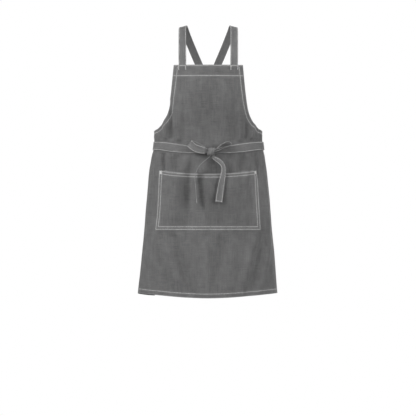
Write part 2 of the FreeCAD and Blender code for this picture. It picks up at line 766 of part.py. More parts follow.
back_row = [(405.5, HEM_CORNER[1] + 18.0), (350.5, 553.0)]
nodes["back_edge_stitching"] = [thread(flip(back_row), front_thread) for flip in (mirrored, list)]

pocket_thread = thread_surfaces(pocket_face(CLOTH), **pocket_reach)
pocket_rows = []
for inset in POCKET_ROWS:
    low = POCKET_BOTTOM + inset
    lean = (pocket_bottom_corner[0] - pocket_top_corner[0]) / (POCKET_TOP - POCKET_BOTTOM)
    side_low = pocket_bottom_corner[0] - inset - lean * inset
    side_high = pocket_top_corner[0] - inset + lean * 16.5
    for flip in (mirrored, list):
        side = between((side_low, low + 0.6), (side_high, POCKET_TOP - 16.5), 3)
        pocket_rows.append(thread(flip(side), pocket_thread))
    pocket_rows.append(thread(between((-side_low, low), (side_low, low), 5), pocket_thread))
    mouth = pocket_mouth(inset)
    mouth = [(u * 0.93, v) for u, v in mouth]
    pocket_rows.append(thread(mouth, pocket_thread))
nodes["pocket_stitching"] = pocket_rows

nodes["pocket_bar_tacks"] = []
for flip in (mirrored, list):
    centre = (pocket_top_corner[0] - 7.0, POCKET_TOP - 7.5)
    path = between((centre[0], centre[1] - 4.5), (centre[0], centre[1] + 4.5), 2)
    nodes["pocket_bar_tacks"].append(sheet(band(flip(path), 4.0, -4.0), *pocket_thread))

strap_foot_girth = girth_at(strap_foot_x, 843.0)
tacks = []
for flip in (mirrored, list):
    for side in (-1, 1):
        girth = strap_foot_girth + side * (STRAP_WIDTH / 2 - 1.0)
        tacks.append(thread(flip(between((girth, 833.0), (girth, 846.0), 2)), front_thread))
nodes["strap_front_tacks"] = tacks

wing_rows = box_rows((WING_FOOT[0] - 0.53 * 31.0, WING_FOOT[1] - 0.85 * 31.0), (-0.53, -0.85), 15.0, 19.0)
nodes["strap_back_stitching"] = [
    thread(flip(row), front_thread) for flip in (mirrored, list) for row in wing_rows
]

# ---------------------------------------------------------------- writing the pieces

os.makedirs("parts", exist_ok=True)
for name, solids in nodes.items():
    shape = solids[0] if len(solids) == 1 else Part.makeCompound(solids)
    shape.translate(Vector(0, 0, -SHOULDER_HEIGHT))
    shape.exportStep("parts/" + name + ".step")
    for solid in shape.Solids:
        if not solid.isValid() or not solid.isClosed():
            print("faulty solid in", name)
    print(name, len(shape.Solids), round(shape.Volume, 1))
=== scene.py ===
import math

import bpy
import numpy as np
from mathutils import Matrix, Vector
from mathutils.geometry import delaunay_2d_cdt


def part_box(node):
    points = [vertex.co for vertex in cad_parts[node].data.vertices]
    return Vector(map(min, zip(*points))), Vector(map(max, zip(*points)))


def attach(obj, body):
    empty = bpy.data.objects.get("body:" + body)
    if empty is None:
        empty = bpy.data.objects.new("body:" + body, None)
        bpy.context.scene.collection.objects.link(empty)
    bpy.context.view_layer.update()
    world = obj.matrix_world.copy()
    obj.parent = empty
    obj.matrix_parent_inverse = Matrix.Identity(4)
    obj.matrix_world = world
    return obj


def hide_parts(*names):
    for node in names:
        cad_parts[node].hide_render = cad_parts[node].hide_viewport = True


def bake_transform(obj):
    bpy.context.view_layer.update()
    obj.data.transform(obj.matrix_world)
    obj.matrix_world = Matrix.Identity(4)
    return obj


# The cross-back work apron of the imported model, in cloth, tape and thread. Cloth is laid out in pattern
# coordinates: u is the length round the wearer from the centre front, positive to +X, and z is the height
# above the lowest point of the hem. Both are in millimetres, as is every size here, until row_frame() turns
# points into metres in the model's own frame. The camera, the lights and the room are in metres.

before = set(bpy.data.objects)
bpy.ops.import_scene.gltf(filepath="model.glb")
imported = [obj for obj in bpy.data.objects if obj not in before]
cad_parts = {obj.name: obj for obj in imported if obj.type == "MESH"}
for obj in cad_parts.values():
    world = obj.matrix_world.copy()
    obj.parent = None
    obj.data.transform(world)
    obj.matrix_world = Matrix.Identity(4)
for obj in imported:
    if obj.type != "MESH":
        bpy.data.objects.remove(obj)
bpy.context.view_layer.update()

# ---- driving sizes

panel_low, panel_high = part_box("body_panel")
pocket_low, pocket_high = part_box("pocket_panel")
knot_low, knot_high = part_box("bow_knot")

SHOULDER_HEIGHT = round(-panel_low.z * 1000, 1)
FRONT_LENGTH = round((panel_high.z - panel_low.z) * 1000, 1)
BIB_HALF_WIDTH = 126.0
WAIST_HEIGHT = 565.0
WING_TOP = 598.0
WING_HALF_GIRTH = 360.0
HEM_HALF_GIRTH = 420.0
HEM_RISE = 15.0             # the hem's height at HEM_RISE_GIRTH, above its lowest point at the centre front
HEM_RISE_GIRTH = 300.0

BIB_FLARE = 0.1             # the bib widens by this share of the distance below its top
ARMHOLE_REACH = 50.0        # the armhole's curve adds this at ARMHOLE_DROP below the top
ARMHOLE_DROP = 243.0
ARMHOLE_DROPS = (60.0, 110.0, 150.0, 180.0, 205.0, 222.0, 233.0)
UNDERARM = [(246.0, 607.5), (285.0, 601.5), (325.0, 599.0)]

CLOTH = 0.9
GAP = 0.25
STRAP_WIDTH = 28.0
STRAP_THICKNESS = 1.6
TIE_WIDTH = 30.0
TIE_THICKNESS = 1.4

BAND_HEIGHT = 41.0
ARMHOLE_FACING_TOP = 17.0
ARMHOLE_FACING_END = 10.0
HEM_TURN = 17.0
BACK_TURN = 13.0
BACK_TURN_TOP = 586.0
EDGE_INSET = 0.4            # facings and turns stop this far inside the cloth's edge

POCKET_TOP = round((pocket_high.z - panel_low.z) * 1000, 1)
POCKET_BOTTOM = round((pocket_low.z - panel_low.z) * 1000, 1)
POCKET_TOP_HALF = 179.0
POCKET_BOTTOM_HALF = 191.0
POCKET_SAG = 13.0
POCKET_STAND = 13.0
POCKET_ROWS = (3.0, 12.5)
POCKET_TURN = (0.6, 16.0)   # the mouth's turn runs between these depths below the mouth's line

knot = (knot_low + knot_high) / 2 * 1000
KNOT_X, KNOT_Y, KNOT_HEIGHT = knot.x, knot.y, knot.z + SHOULDER_HEIGHT
KNOT_RADIUS = (knot_high.x - knot_low.x) * 500
KNOT_HALF_HEIGHT = (knot_high.z - knot_low.z) * 500
KNOT_CLEAR = 2.2

# The wearer, seen from the front: half the width at the hem, and what it loses for each millimetre up
WEARER_HALF_WIDTH = 256.0
WIDTH_TAPER = 0.086
WAIST_PINCH = 8.0
WAIST_SPREAD = 70.0

# Depth of the wearer in front of and behind the side line, at several heights
FRONT_DEPTH = [(0.0, 135.0), (400.0, 112.0), (565.0, 88.0), (730.0, 104.0), (850.0, 96.0)]
BACK_DEPTH = [(0.0, 120.0), (400.0, 95.0), (565.0, 74.0), (730.0, 88.0), (850.0, 80.0)]
ROUNDNESS = 2.2

CLOTH_MESH = 5.0            # spacing of the points of the cloth's mesh
POCKET_MESH = 4.2
POCKET_EDGE_MESH = 4.0
SEAM_MESH = 3.4             # spacing along rows of stitching
STITCH_PITCH = 3.6
STITCH_WIDTH = 1.15
THREAD_LIFT = 0.12          # middle of a stitch above the cloth it lies on

# ---- camera, floor and light

PICTURE_WIDTH = 1522.6      # what the picture shows from side to side, at the apron's front
CAMERA_X = -1.1
CAMERA_HEIGHT = 327.6
CAMERA_DISTANCE = 9.0
SENSOR = 36.0
APRON_FRONT = 0.06          # the part of the apron's front that sets the picture's scale, before the origin

camera_data = bpy.data.cameras.new("camera")
camera_data.sensor_width = SENSOR
camera_data.lens = SENSOR * (CAMERA_DISTANCE - APRON_FRONT) * 1000 / PICTURE_WIDTH
camera = bpy.data.objects.new("camera", camera_data)
camera.location = (CAMERA_X / 1000, -CAMERA_DISTANCE, (CAMERA_HEIGHT - SHOULDER_HEIGHT) / 1000)
camera.rotation_euler = (math.pi / 2, 0, 0)
bpy.context.scene.collection.objects.link(camera)
bpy.context.scene.camera = camera


def add_light(name, place, target, size, power):
    """A square soft light, in metres, facing its target."""
    data = bpy.data.lights.new(name, "AREA")
    data.shape = "SQUARE"
    data.size = size
    data.energy = power
    light = bpy.data.objects.new(name, data)
    light.location = place
    light.rotation_euler = (Vector(target) - Vector(place)).to_track_quat("-Z", "Y").to_euler()
    bpy.context.scene.collection.objects.link(light)


CHEST = (0.0, 0.0, -0.45)
add_light("key", (-3.4, -2.2, 1.6), CHEST, 3.2, 166.0)
add_light("fill", (3.4, -2.4, 0.4), CHEST, 3.2, 102.0)
add_light("front", (-0.6, -5.0, 0.9), CHEST, 2.4, 46.0)
add_light("back", (0.8, 3.4, 1.0), CHEST, 3.0, 130.0)

AMBIENT = 0.21

world = bpy.data.worlds.new("studio")
world.use_nodes = True
background = world.node_tree.nodes["Background"]
background.inputs["Color"].default_value = (1.0, 1.0, 1.0, 1.0)
background.inputs["Strength"].default_value = AMBIENT
bpy.context.scene.world = world
bpy.context.scene.view_settings.view_transform = "Standard"

FLOOR_HEIGHT = -1.45
ROOM_SIZE = 24.0


def plain_white(name):
    """A material that glows white."""
    material = bpy.data.materials.new(name)
    material.use_nodes = True
    tree = material.node_tree
    tree.nodes.clear()
    glow = tree.nodes.new("ShaderNodeEmission")
    glow.inputs["Color"].default_value = (1.0, 1.0, 1.0, 1.0)
    output = tree.nodes.new("ShaderNodeOutputMaterial")
    tree.links.new(glow.outputs[0], output.inputs["Surface"])
    return material


def add_stage(name, points, faces):
    """A white surface that the camera sees and that sends no light to the apron."""
    mesh = bpy.data.meshes.new(name)
    mesh.from_pydata(points, [], faces)
    mesh.materials.append(plain_white(name))
    stage = bpy.data.objects.new(name, mesh)
    bpy.context.scene.collection.objects.link(stage)
    stage.visible_diffuse = False
    stage.visible_glossy = False
    stage.visible_shadow = False


corners = [(x, y, z) for z in (-1, 1) for x, y in ((-1, -1), (1, -1), (1, 1), (-1, 1))]
add_stage("floor", [(x * ROOM_SIZE, y * ROOM_SIZE, FLOOR_HEIGHT) for x, y, z in corners[:4]], [(0, 1, 2, 3)])
add_stage(
    "studio",
    [(x * ROOM_SIZE, y * ROOM_SIZE, z * ROOM_SIZE) for x, y, z in corners],
    [(0, 1, 2, 3), (4, 5, 6, 7), (0, 1, 5, 4), (1, 2, 6, 5), (2, 3, 7, 6), (3, 0, 4, 7)],
)

# ---- smooth lines and noise


def hermite(table, at):
    """A smooth curve through the table's rows, whose first column is the place; flat beyond its ends."""
    table = np.asarray(table, float)
    places, values = table[:, 0], table[:, 1:]
    rows = np.arange(len(places))
    before, after = np.maximum(rows - 1, 0), np.minimum(rows + 1, len(places) - 1)
    slopes = (values[after] - values[before]) / (places[after] - places[before])[:, None]
    at = np.clip(np.atleast_1d(at).astype(float), places[0], places[-1])
    row = np.clip(np.searchsorted(places, at, side="right") - 1, 0, len(places) - 2)
    span = (places[row + 1] - places[row])[:, None]
    t = (at - places[row])[:, None] / span
    return (
        (2 * t**3 - 3 * t**2 + 1) * values[row]
        + (t**3 - 2 * t**2 + t) * span * slopes[row]
        + (3 * t**2 - 2 * t**3) * values[row + 1]
        + (t**3 - t**2) * span * slopes[row + 1]
    )


def distances(points):
    """Lengths along a line of points, from its start."""
    steps = np.linalg.norm(np.diff(points, axis=0), axis=1)
    return np.concatenate([[0.0], np.cumsum(steps)])


def smooth_line(points, step):
    """Points a step apart on a smooth line through the given ones."""
    points = np.asarray(points, float)
    far = distances(points)
    count = max(int(round(far[-1] / step)), 1)
    return hermite(np.column_stack([far, points]), np.linspace(0, far[-1], count + 1))


def fade(t):
    """The smooth step from 0 to 1."""
    return t * t * (3 - 2 * t)


def rise(value, start, end):
    """0 up to start, 1 from end on, smooth between."""
    return fade(np.clip((value - start) / (end - start), 0.0, 1.0))


def soft_noise(a, b, seed):
    """Smooth noise from -1 to 1 that changes over about one unit."""
    lattice = np.random.default_rng(seed).uniform(-1.0, 1.0, (64, 64))
    ia, ib = np.floor(a).astype(int), np.floor(b).astype(int)
    fa, fb = fade(a - ia), fade(b - ib)
    low = lattice[ia % 64, ib % 64] * (1 - fa) + lattice[(ia + 1) % 64, ib % 64] * fa
    high = lattice[ia % 64, (ib + 1) % 64] * (1 - fa) + lattice[(ia + 1) % 64, (ib + 1) % 64] * fa
    return low * (1 - fb) + high * fb


def distance_to(line, points):
    """Distance from each point to a line of points, all in pattern coordinates."""
    best = np.full(len(points), np.inf)
    for start, end in zip(line[:-1], line[1:]):
        way = end - start
        t = np.clip((points - start) @ way / max(way @ way, 1e-9), 0.0, 1.0)
        best = np.minimum(best, np.linalg.norm(points - start - t[:, None] * way, axis=1))
    return best


# ---- the wearer's shape

SECTION_STEP = 5.0
ARC_STEP = 2.0
SECTION_POINTS = 400        # steps round half a section
CARRIED_ON = 40             # of these, how many are repeated past the centre front
SLOPE_REACH = 2.0           # the cloth's direction is taken between points this far either side
section_heights = np.arange(-40.0, 901.0, SECTION_STEP)
section_arcs = np.arange(-10.0, 561.0, ARC_STEP)


def half_width(height):
    """Half the wearer's width, seen from the front."""
    pinch = WAIST_PINCH * np.exp(-(((height - WAIST_HEIGHT) / WAIST_SPREAD) ** 2))
    return WEARER_HALF_WIDTH - WIDTH_TAPER * height - pinch


def build_sections():
    """x, y by height and arc length from the centre front, and half the girth at each height."""
    angle = np.pi * np.arange(SECTION_POINTS + 1) / SECTION_POINTS
    table_x, table_y, halves = [], [], []
    fronts = hermite(FRONT_DEPTH, section_heights)[:, 0]
    backs = hermite(BACK_DEPTH, section_heights)[:, 0]
    before = slice(CARRIED_ON, 0, -1)
    beyond = slice(-2, None, -1)
    for wide, front, back in zip(half_width(section_heights), fronts, backs):
        x = wide * np.abs(np.sin(angle)) ** (2 / ROUNDNESS)
        reach = np.abs(np.cos(angle)) ** (2 / ROUNDNESS)
        y = np.where(angle < np.pi / 2, -front * reach, back * reach)
        arc = distances(np.column_stack([x, y]))
        arcs = np.concatenate([-arc[before], arc, 2 * arc[-1] - arc[beyond]])
        table_x.append(np.interp(section_arcs, arcs, np.concatenate([-x[before], x, -x[beyond]])))
        table_y.append(np.interp(section_arcs, arcs, np.concatenate([y[before], y, y[beyond]])))
        halves.append(arc[-1])
    return np.array(table_x), np.array(table_y), np.array(halves)


section_x, section_y, half_girths = build_sections()


def half_girth(z):
    """Half the length round the wearer at a height."""
    return np.interp(z, section_heights, half_girths)


def body_xy(u, z):
    """The point of the wearer's shape at each length round the body and height."""
    half = half_girth(z)
    wrapped = (u + half) % (2 * half) - half
    row = np.clip((z - section_heights[0]) / SECTION_STEP, 0, len(section_heights) - 1.001)
    column = (np.abs(wrapped) - section_arcs[0]) / ARC_STEP
    i, j = row.astype(int), column.astype(int)
    s, t = row - i, column - j

    def value(table):
        low = table[i, j] * (1 - t) + table[i, j + 1] * t
        high = table[i + 1, j] * (1 - t) + table[i + 1, j + 1] * t
        return low * (1 - s) + high * s

    return np.where(wrapped < 0, -1.0, 1.0) * value(section_x), value(section_y)


def on_body(u, z, lift):
    """Points the given distance outside the wearer's shape."""
    u, z, lift = np.broadcast_arrays(*[np.asarray(a, float) for a in (u, z, lift)])
    x, y = body_xy(u, z)
    x0, y0 = body_xy(u - SLOPE_REACH, z)
    x1, y1 = body_xy(u + SLOPE_REACH, z)
    size = np.hypot(x1 - x0, y1 - y0)
    return np.stack([x + lift * (y1 - y0) / size, y - lift * (x1 - x0) / size, z], axis=-1)


def girth_at(x, z):
    """The length round the body from the centre front to a point seen at x from the front."""
    u = np.arange(0.0, 280.0, 0.5)
    across, _ = body_xy(u, np.full(len(u), float(z)))
    last = int(np.argmax(across))
    return math.copysign(float(np.interp(abs(x), across[: last + 1], u[: last + 1])), x)


def row_frame(points):
    """Metres in the model's frame."""
    return (points - np.array([0.0, 0.0, SHOULDER_HEIGHT])) / 1000.0


# ---- outlines of the pattern pieces


def hem_height(u):
    """The hem's height at each length round the body."""
    return HEM_RISE * np.sin(np.pi * np.asarray(u, float) / (2 * HEM_RISE_GIRTH)) ** 2


def edge_x(drop):
    """Half the bib's width, seen from the front, the given distance below its top edge."""
    return BIB_HALF_WIDTH + BIB_FLARE * drop + ARMHOLE_REACH * (drop / ARMHOLE_DROP) ** 7


def armhole(start_drop=0.0):
    """The right armhole edge, from the bib down and round to the wing's top corner."""
    drops = [start_drop] + [drop for drop in ARMHOLE_DROPS if drop > start_drop + 15]
    points = [(girth_at(edge_x(drop), FRONT_LENGTH - drop), FRONT_LENGTH - drop) for drop in drops]
    return np.array(points + UNDERARM + [(WING_HALF_GIRTH, WING_TOP)])


def inset(line, distance):
    """The line moved to the right of its direction by one distance, or by one for each point."""
    ahead = np.gradient(line, axis=0)
    ahead /= np.linalg.norm(ahead, axis=1)[:, None]
    return line + np.column_stack([ahead[:, 1], -ahead[:, 0]]) * np.reshape(distance, (-1, 1))


def flipped(line):
    """The line on the other side of the centre front."""
    return np.asarray(line) * np.array([-1.0, 1.0])


def tapered(line, start, end):
    """A distance for each of the line's points, from start to end."""
    return np.linspace(start, end, len(line))


def line_above_hem(margin, height):
    """A line along the hem, a margin short of it at both ends, the given height above it."""
    reach = HEM_HALF_GIRTH - margin
    return np.array([(u, hem_height(u) + height) for u in np.linspace(-reach, reach, 13)])


def outline_of(runs, spacing=CLOTH_MESH):
    """The runs of an outline, with points at an even spacing."""
    return [smooth_line(run, spacing) for run in runs]


def band_between(one, other, spacing=CLOTH_MESH):
    """The outline round the space between two lines, of which the other runs backwards."""
    return outline_of([one, [one[-1], other[0]], other, [other[-1], one[0]]], spacing)


armhole_line = armhole()
bib_corner = armhole_line[0]
hem_corner = (HEM_HALF_GIRTH, float(hem_height(HEM_HALF_GIRTH)))
wing_corner = (WING_HALF_GIRTH, WING_TOP)

body_outline = outline_of([
    line_above_hem(0.0, 0.0),
    [hem_corner, wing_corner],
    armhole_line[::-1],
    [bib_corner, flipped(bib_corner)],
    flipped(armhole_line),
    [flipped(wing_corner), flipped(hem_corner)],
])

pocket_top_girth = girth_at(POCKET_TOP_HALF, POCKET_TOP)
pocket_bottom_girth = girth_at(POCKET_BOTTOM_HALF, POCKET_BOTTOM)
POCKET_LEAN = (pocket_bottom_girth - pocket_top_girth) / (POCKET_TOP - POCKET_BOTTOM)


def pocket_mouth(depth):
    """The mouth line from left to right, the given distance below the pocket's top edge."""
    share = np.linspace(-1, 1, 9)
    half = pocket_top_girth + depth * POCKET_LEAN
    return np.column_stack([half * share, POCKET_TOP - depth - POCKET_SAG * (1 - share**2)])


pocket_outline = band_between(
    [(-pocket_bottom_girth, POCKET_BOTTOM), (pocket_bottom_girth, POCKET_BOTTOM)],
    pocket_mouth(0.0)[::-1],
    POCKET_EDGE_MESH,
)

# ---- rows of stitching, in pattern coordinates

FACING_ROW = 1.5            # a row that holds a facing runs this far inside the facing's hidden edge
TOP_ROW = 2.5               # the row under the bib's top edge
HEM_ROW = 15.0
ROW_START = 3.0             # a row starts this far from the cloth's edge
MOUTH_ROW_SHARE = 0.985     # the length of the mouth's rows, as a share of the mouth's


def level_row(reach, height):
    """A straight row across the front, as far to the left as to the right."""
    return smooth_line([(-reach, height), (reach, height)], SEAM_MESH)


band_bottom = FRONT_LENGTH - BAND_HEIGHT
band_girth = girth_at(edge_x(BAND_HEIGHT), band_bottom) - 1.0
stitched_armhole = armhole(5.0)
armhole_insets = tapered(stitched_armhole, ARMHOLE_FACING_TOP - FACING_ROW, ARMHOLE_FACING_END - FACING_ROW)
armhole_row = smooth_line(inset(stitched_armhole, armhole_insets), SEAM_MESH)[:-4]
top_row = level_row(bib_corner[0] - ROW_START, FRONT_LENGTH - TOP_ROW)
band_row = level_row(band_girth - 1.0, band_bottom + FACING_ROW)
hem_row = smooth_line(line_above_hem(4.0, HEM_ROW), SEAM_MESH)
back_row = smooth_line([(405.5, hem_corner[1] + 18.0), (350.5, 590.0)], SEAM_MESH)

body_rows = [top_row, band_row, armhole_row, flipped(armhole_row), hem_row, back_row, flipped(back_row)]

pocket_rows = []
for depth in POCKET_ROWS:
    low = POCKET_BOTTOM + depth
    half_low = pocket_bottom_girth - depth - POCKET_LEAN * depth
    half_high = pocket_top_girth - depth + POCKET_LEAN * ROW_START
    side = smooth_line([(half_low, low), (half_high, POCKET_TOP - ROW_START)], SEAM_MESH)
    pocket_rows += [side, flipped(side), level_row(half_low, low)]
    pocket_rows.append(smooth_line(pocket_mouth(depth) * np.array([MOUTH_ROW_SHARE, 1.0]), SEAM_MESH))

# ---- how the cloth hangs

FOLD_DEPTH = 1.6            # every fold below is this many times as deep
GATHER_DEPTH = 1.5          # creases drawn in by the waist tie, which die away over GATHER_REACH
GATHER_REACH = 34.0
PUCKER_REACH = 7.0          # how far puckers spread from a row of stitching
SEAM_HALF_WIDTH = 1.7       # half the width of the groove that a row pulls in
SEAM_DEPTH = 0.38
PUCKER_DEPTH = 0.42
PUCKER_LENGTH = 5.2         # from one pucker to the next along a row
WING_DROOP = 7.0            # how much lower than the front the left back wing hangs

# Folds seen from the front: ends as (x, height), half width, and how far it stands out or lies in
FOLDS = [
    ((-138, 725), (-130, 540), 10, -7.4),
    ((-160, 670), (-153, 540), 9, 5.4),
    ((-106, 770), (-110, 540), 15, 5.0),
    ((-86, 720), (-90, 540), 10, -2.4),
    ((140, 665), (134, 540), 8, -7.4),
    ((170, 640), (146, 540), 7, 7.4),
    ((112, 720), (116, 540), 12, 4.0),
    ((184, 620), (172, 540), 8, -4.6),
    ((90, 710), (94, 540), 10, -2.8),
    ((30, 820), (18, 560), 32, -4.0),
    ((-52, 830), (-46, 560), 34, 4.0),
    ((66, 830), (64, 560), 22, 3.0),
    ((-166, 560), (-158, 440), 8, -6.4),
    ((-146, 560), (-128, 430), 8, 6.6),
    ((-116, 560), (-110, 440), 10, -4.8),
    ((-184, 560), (-194, 420), 8, 4.6),
    ((-80, 560), (-78, 450), 10, 3.0),
    ((148, 560), (142, 430), 8, 6.6),
    ((124, 560), (116, 440), 9, -5.6),
    ((170, 560), (186, 430), 8, -6.0),
    ((98, 560), (98, 450), 9, 3.0),
    ((70, 560), (72, 450), 9, -3.0),
    ((-62, 500), (-68, 240), 20, -10.0),
    ((-116, 500), (-124, 220), 22, 6.6),
    ((-14, 490), (-10, 230), 16, 4.4),
    ((36, 480), (30, 240), 16, -4.0),
    ((88, 500), (98, 220), 22, 5.8),
    ((146, 500), (154, 220), 12, -5.6),
    ((205, 460), (224, 200), 12, 4.6),
    ((-204, 460), (-224, 210), 10, 4.4),
    ((-184, 290), (-210, 20), 15, 5.0),
    ((202, 250), (140, -10), 13, -7.6),
    ((176, 260), (114, 0), 16, 5.6),
    ((228, 230), (180, 0), 14, 5.0),
    ((-136, 240), (-58, -10), 13, -7.2),
    ((-98, 240), (-22, 0), 17, 5.0),
    ((-163, 210), (-96, -10), 14, 5.0),
    ((50, 220), (34, -10), 28, -4.2),
    ((84, 230), (84, 0), 20, 3.6),
    ((-10, 220), (2, 0), 18, 3.2),
]

# Height of the middle of the waist tie by length round the body, and half the height that it presses flat
TIE_COURSE = [
    (0.0, 533.5, 16.0),
    (33.0, 535.5, 17.0),
    (71.0, 540.0, 19.0),
    (118.0, 547.5, 20.0),
    (178.0, 554.5, 20.0),
    (238.0, 556.0, 20.0),
    (278.0, 555.0, 22.0),
    (330.0, 561.0, 32.0),
    (420.0, 558.0, 30.0),
]

fold_lines = [
    (*[np.array([girth_at(x, z), z]) for x, z in ends], width, height * FOLD_DEPTH)
    for *ends, width, height in FOLDS
]


def fold(points, start, end, width, height):
    """One soft ridge, or a valley where the height is negative, that dies away towards both ends."""
    way = end - start
    t = np.clip((points - start) @ way / (way @ way), 0.0, 1.0)
    away = np.linalg.norm(points - start - t[:, None] * way, axis=1)
    return height * np.sin(np.pi * t) ** 0.7 * np.exp(-((away / width) ** 2))


def relief(u, z):
    """How far the hanging cloth stands out from the wearer's shape."""
    points = np.column_stack([u, z])
    total = np.zeros(len(points))
    for start, end, width, height in fold_lines:
        total += fold(points, start, end, width, height)

    # From broad to fine: the skirt's sway, hollows, wrinkles and creases, deeper behind
    skirt = 1 - rise(z, 120.0, 470.0)
    behind = rise(np.abs(u), 230.0, 320.0)
    sway = u + 18.0 * soft_noise(u / 150.0, z / 210.0, 3)
    total += (1.2 + 2.6 * behind) * skirt * np.sin(sway / 27.0 + 1.3)
    total += (1.0 + 1.3 * behind) * soft_noise(u / 85.0, z / 170.0, 5)
    total += 0.75 * soft_noise(u / 33.0 + z / 210.0, z / 85.0, 6)
    total += 0.30 * soft_noise(u / 13.0, z / 26.0, 7)

    # The waist tie gathers the cloth beside it and presses it flat beneath
    course = hermite(TIE_COURSE, np.abs(u))
    away = np.abs(z - course[:, 0]) - course[:, 1]
    gather = np.exp(-np.maximum(away, 0.0) / GATHER_REACH)
    total += GATHER_DEPTH * gather * soft_noise(u / 11.0, z / 95.0, 8)
    pressed = rise(away, 0.0, 14.0)
    total = total * pressed - 0.5 * (1 - pressed)

    total *= 1 - 0.75 * rise(z, FRONT_LENGTH - 70.0, FRONT_LENGTH - 20.0)
    for index, row in enumerate(body_rows):
        away = distance_to(row, points)
        beside = np.exp(-((away / PUCKER_REACH) ** 2))
        ripple = soft_noise((u + z) / PUCKER_LENGTH + index * 9.1, (u - z) / 40.0, 20 + index)
        total += PUCKER_DEPTH * ripple * beside - SEAM_DEPTH * np.exp(-((away / SEAM_HALF_WIDTH) ** 2))
    return total


def droop(u):
    """The left back wing hangs a little lower than the front."""
    return -WING_DROOP * rise(-u, 290.0, 400.0)


def on_cloth(u, z, lift):
    """Points of the hanging cloth, the given distance outside the inner face of the body panel."""
    u, z = np.asarray(u, float), np.asarray(z, float)
    points = on_body(u, z, lift + relief(u, z))
    points[:, 2] += droop(u) * (1 - rise(z, 60.0, 420.0))
    return points


def pocket_gap(u, z):
    """Space between the apron's outer face and the pocket's inner face."""
    up = rise(z, POCKET_BOTTOM + 14.0, POCKET_TOP)
    aside = np.minimum(np.abs(u) / 200.0, 1.0)
    stand = POCKET_STAND * (1 - aside**2) ** 2 * up
    half = pocket_top_girth + (POCKET_TOP - z) * POCKET_LEAN
    inside = rise(half - np.abs(u), 14.0, 45.0) * rise(z, POCKET_BOTTOM + 14.0, POCKET_BOTTOM + 50.0)
    slack = 1.2 * soft_noise(u / 60.0, z / 110.0, 11) + 0.6 * soft_noise(u / 24.0, z / 55.0, 12)
    return GAP + stand + inside * (0.9 + slack)


def on_pocket(u, z, lift):
    """Points the given distance outside the pocket's inner face."""
    u, z = np.asarray(u, float), np.asarray(z, float)
    points = np.column_stack([u, z])
    seam = np.zeros(len(points))
    for index, row in enumerate(pocket_rows):
        away = distance_to(row, points)
        ripple = soft_noise((u + z) / 5.6 + index * 7.3, (u - z) / 40.0, 40 + index)
        seam += 0.3 * ripple * np.exp(-((away / 6.0) ** 2))
        seam -= 0.34 * np.exp(-((away / SEAM_HALF_WIDTH) ** 2))
    return on_cloth(u, z, CLOTH + pocket_gap(u, z) + lift + seam)


# ---- materials

# The colour sockets of a mix node, which carry the same names as its other sockets
MIX_COLOURS = (6, 7)
MIX_RESULT = 2


def new_node(tree, kind, values=(), **settings):
    """A shader node with its settings made and its inputs filled or linked."""
    node = tree.nodes.new(kind)
    for name, value in settings.items():
        setattr(node, name, value)
    for socket, value in dict(values).items():
        if isinstance(value, bpy.types.NodeSocket):
            tree.links.new(value, node.inputs[socket])
        else:
            node.inputs[socket].default_value = value
    return node


def maths(tree, operation, *inputs):
    """The result of one operation on sockets and numbers."""
    return new_node(tree, "ShaderNodeMath", enumerate(inputs), operation=operation).outputs[0]


def mixed(tree, share, one, other):
    """A colour between two, of which each is a socket or red, green and blue."""
    ends = [end if isinstance(end, bpy.types.NodeSocket) else (*end, 1.0) for end in (one, other)]
    values = {"Factor": share, MIX_COLOURS[0]: ends[0], MIX_COLOURS[1]: ends[1]}
    return new_node(tree, "ShaderNodeMix", values, data_type="RGBA").outputs[MIX_RESULT]


def bump(tree, strength, depth, height, below=None):
    """A bumped normal, depth in metres, on top of another bump."""
    values = {"Strength": strength, "Distance": depth, "Height": height}
    if below:
        values["Normal"] = below
    return new_node(tree, "ShaderNodeBump", values).outputs[0]


def noise_of(tree, grain, across, along, detail):
    """Noise stretched in the cloth's own directions, in features per metre."""
    scaled = new_node(tree, "ShaderNodeVectorMath", {0: grain, 1: (across, along, 1.0)}, operation="MULTIPLY")
    return new_node(
        tree,
        "ShaderNodeTexNoise",
        {"Vector": scaled.outputs[0], "Scale": 1.0, "Detail": detail, "Roughness": 0.6},
        noise_dimensions="2D",
    ).outputs["Fac"]


def weighted_sum(tree, terms):
    """The sum of (socket, weight) terms."""
    total = None
    for value, weight in terms:
        part = maths(tree, "MULTIPLY", value, weight)
        total = part if total is None else maths(tree, "ADD", total, part)
    return total


def new_material(name):
    """An empty material: itself, its nodes, its shader and the cloth's own directions."""
    material = bpy.data.materials.new(name)
    material.use_nodes = True
    tree = material.node_tree
    grain = new_node(tree, "ShaderNodeUVMap", uv_map="grain").outputs["UV"]
    return material, tree, tree.nodes["Principled BSDF"], grain


YARN = 0.0009               # from one yarn to the next, in metres

# Unevenness of the yarn and the dye: features per metre across and along, detail, and share of the tone
UNEVENNESS = {
    "warp slubs": (620.0, 16.0, 2.0, 0.18),
    "weft slubs": (20.0, 640.0, 2.0, 0.18),
    "broad warp": (170.0, 9.0, 1.0, 0.04),
    "flecks": (900.0, 420.0, 2.0, 0.25),
    "mottle": (42.0, 30.0, 3.0, 0.15),
    "cloud": (7.0, 5.0, 2.0, 0.12),
}
WEAVE_SHARE = 0.08
TONE_RANGE = (0.38, 0.62)   # the tones that get the darkest and the lightest colour


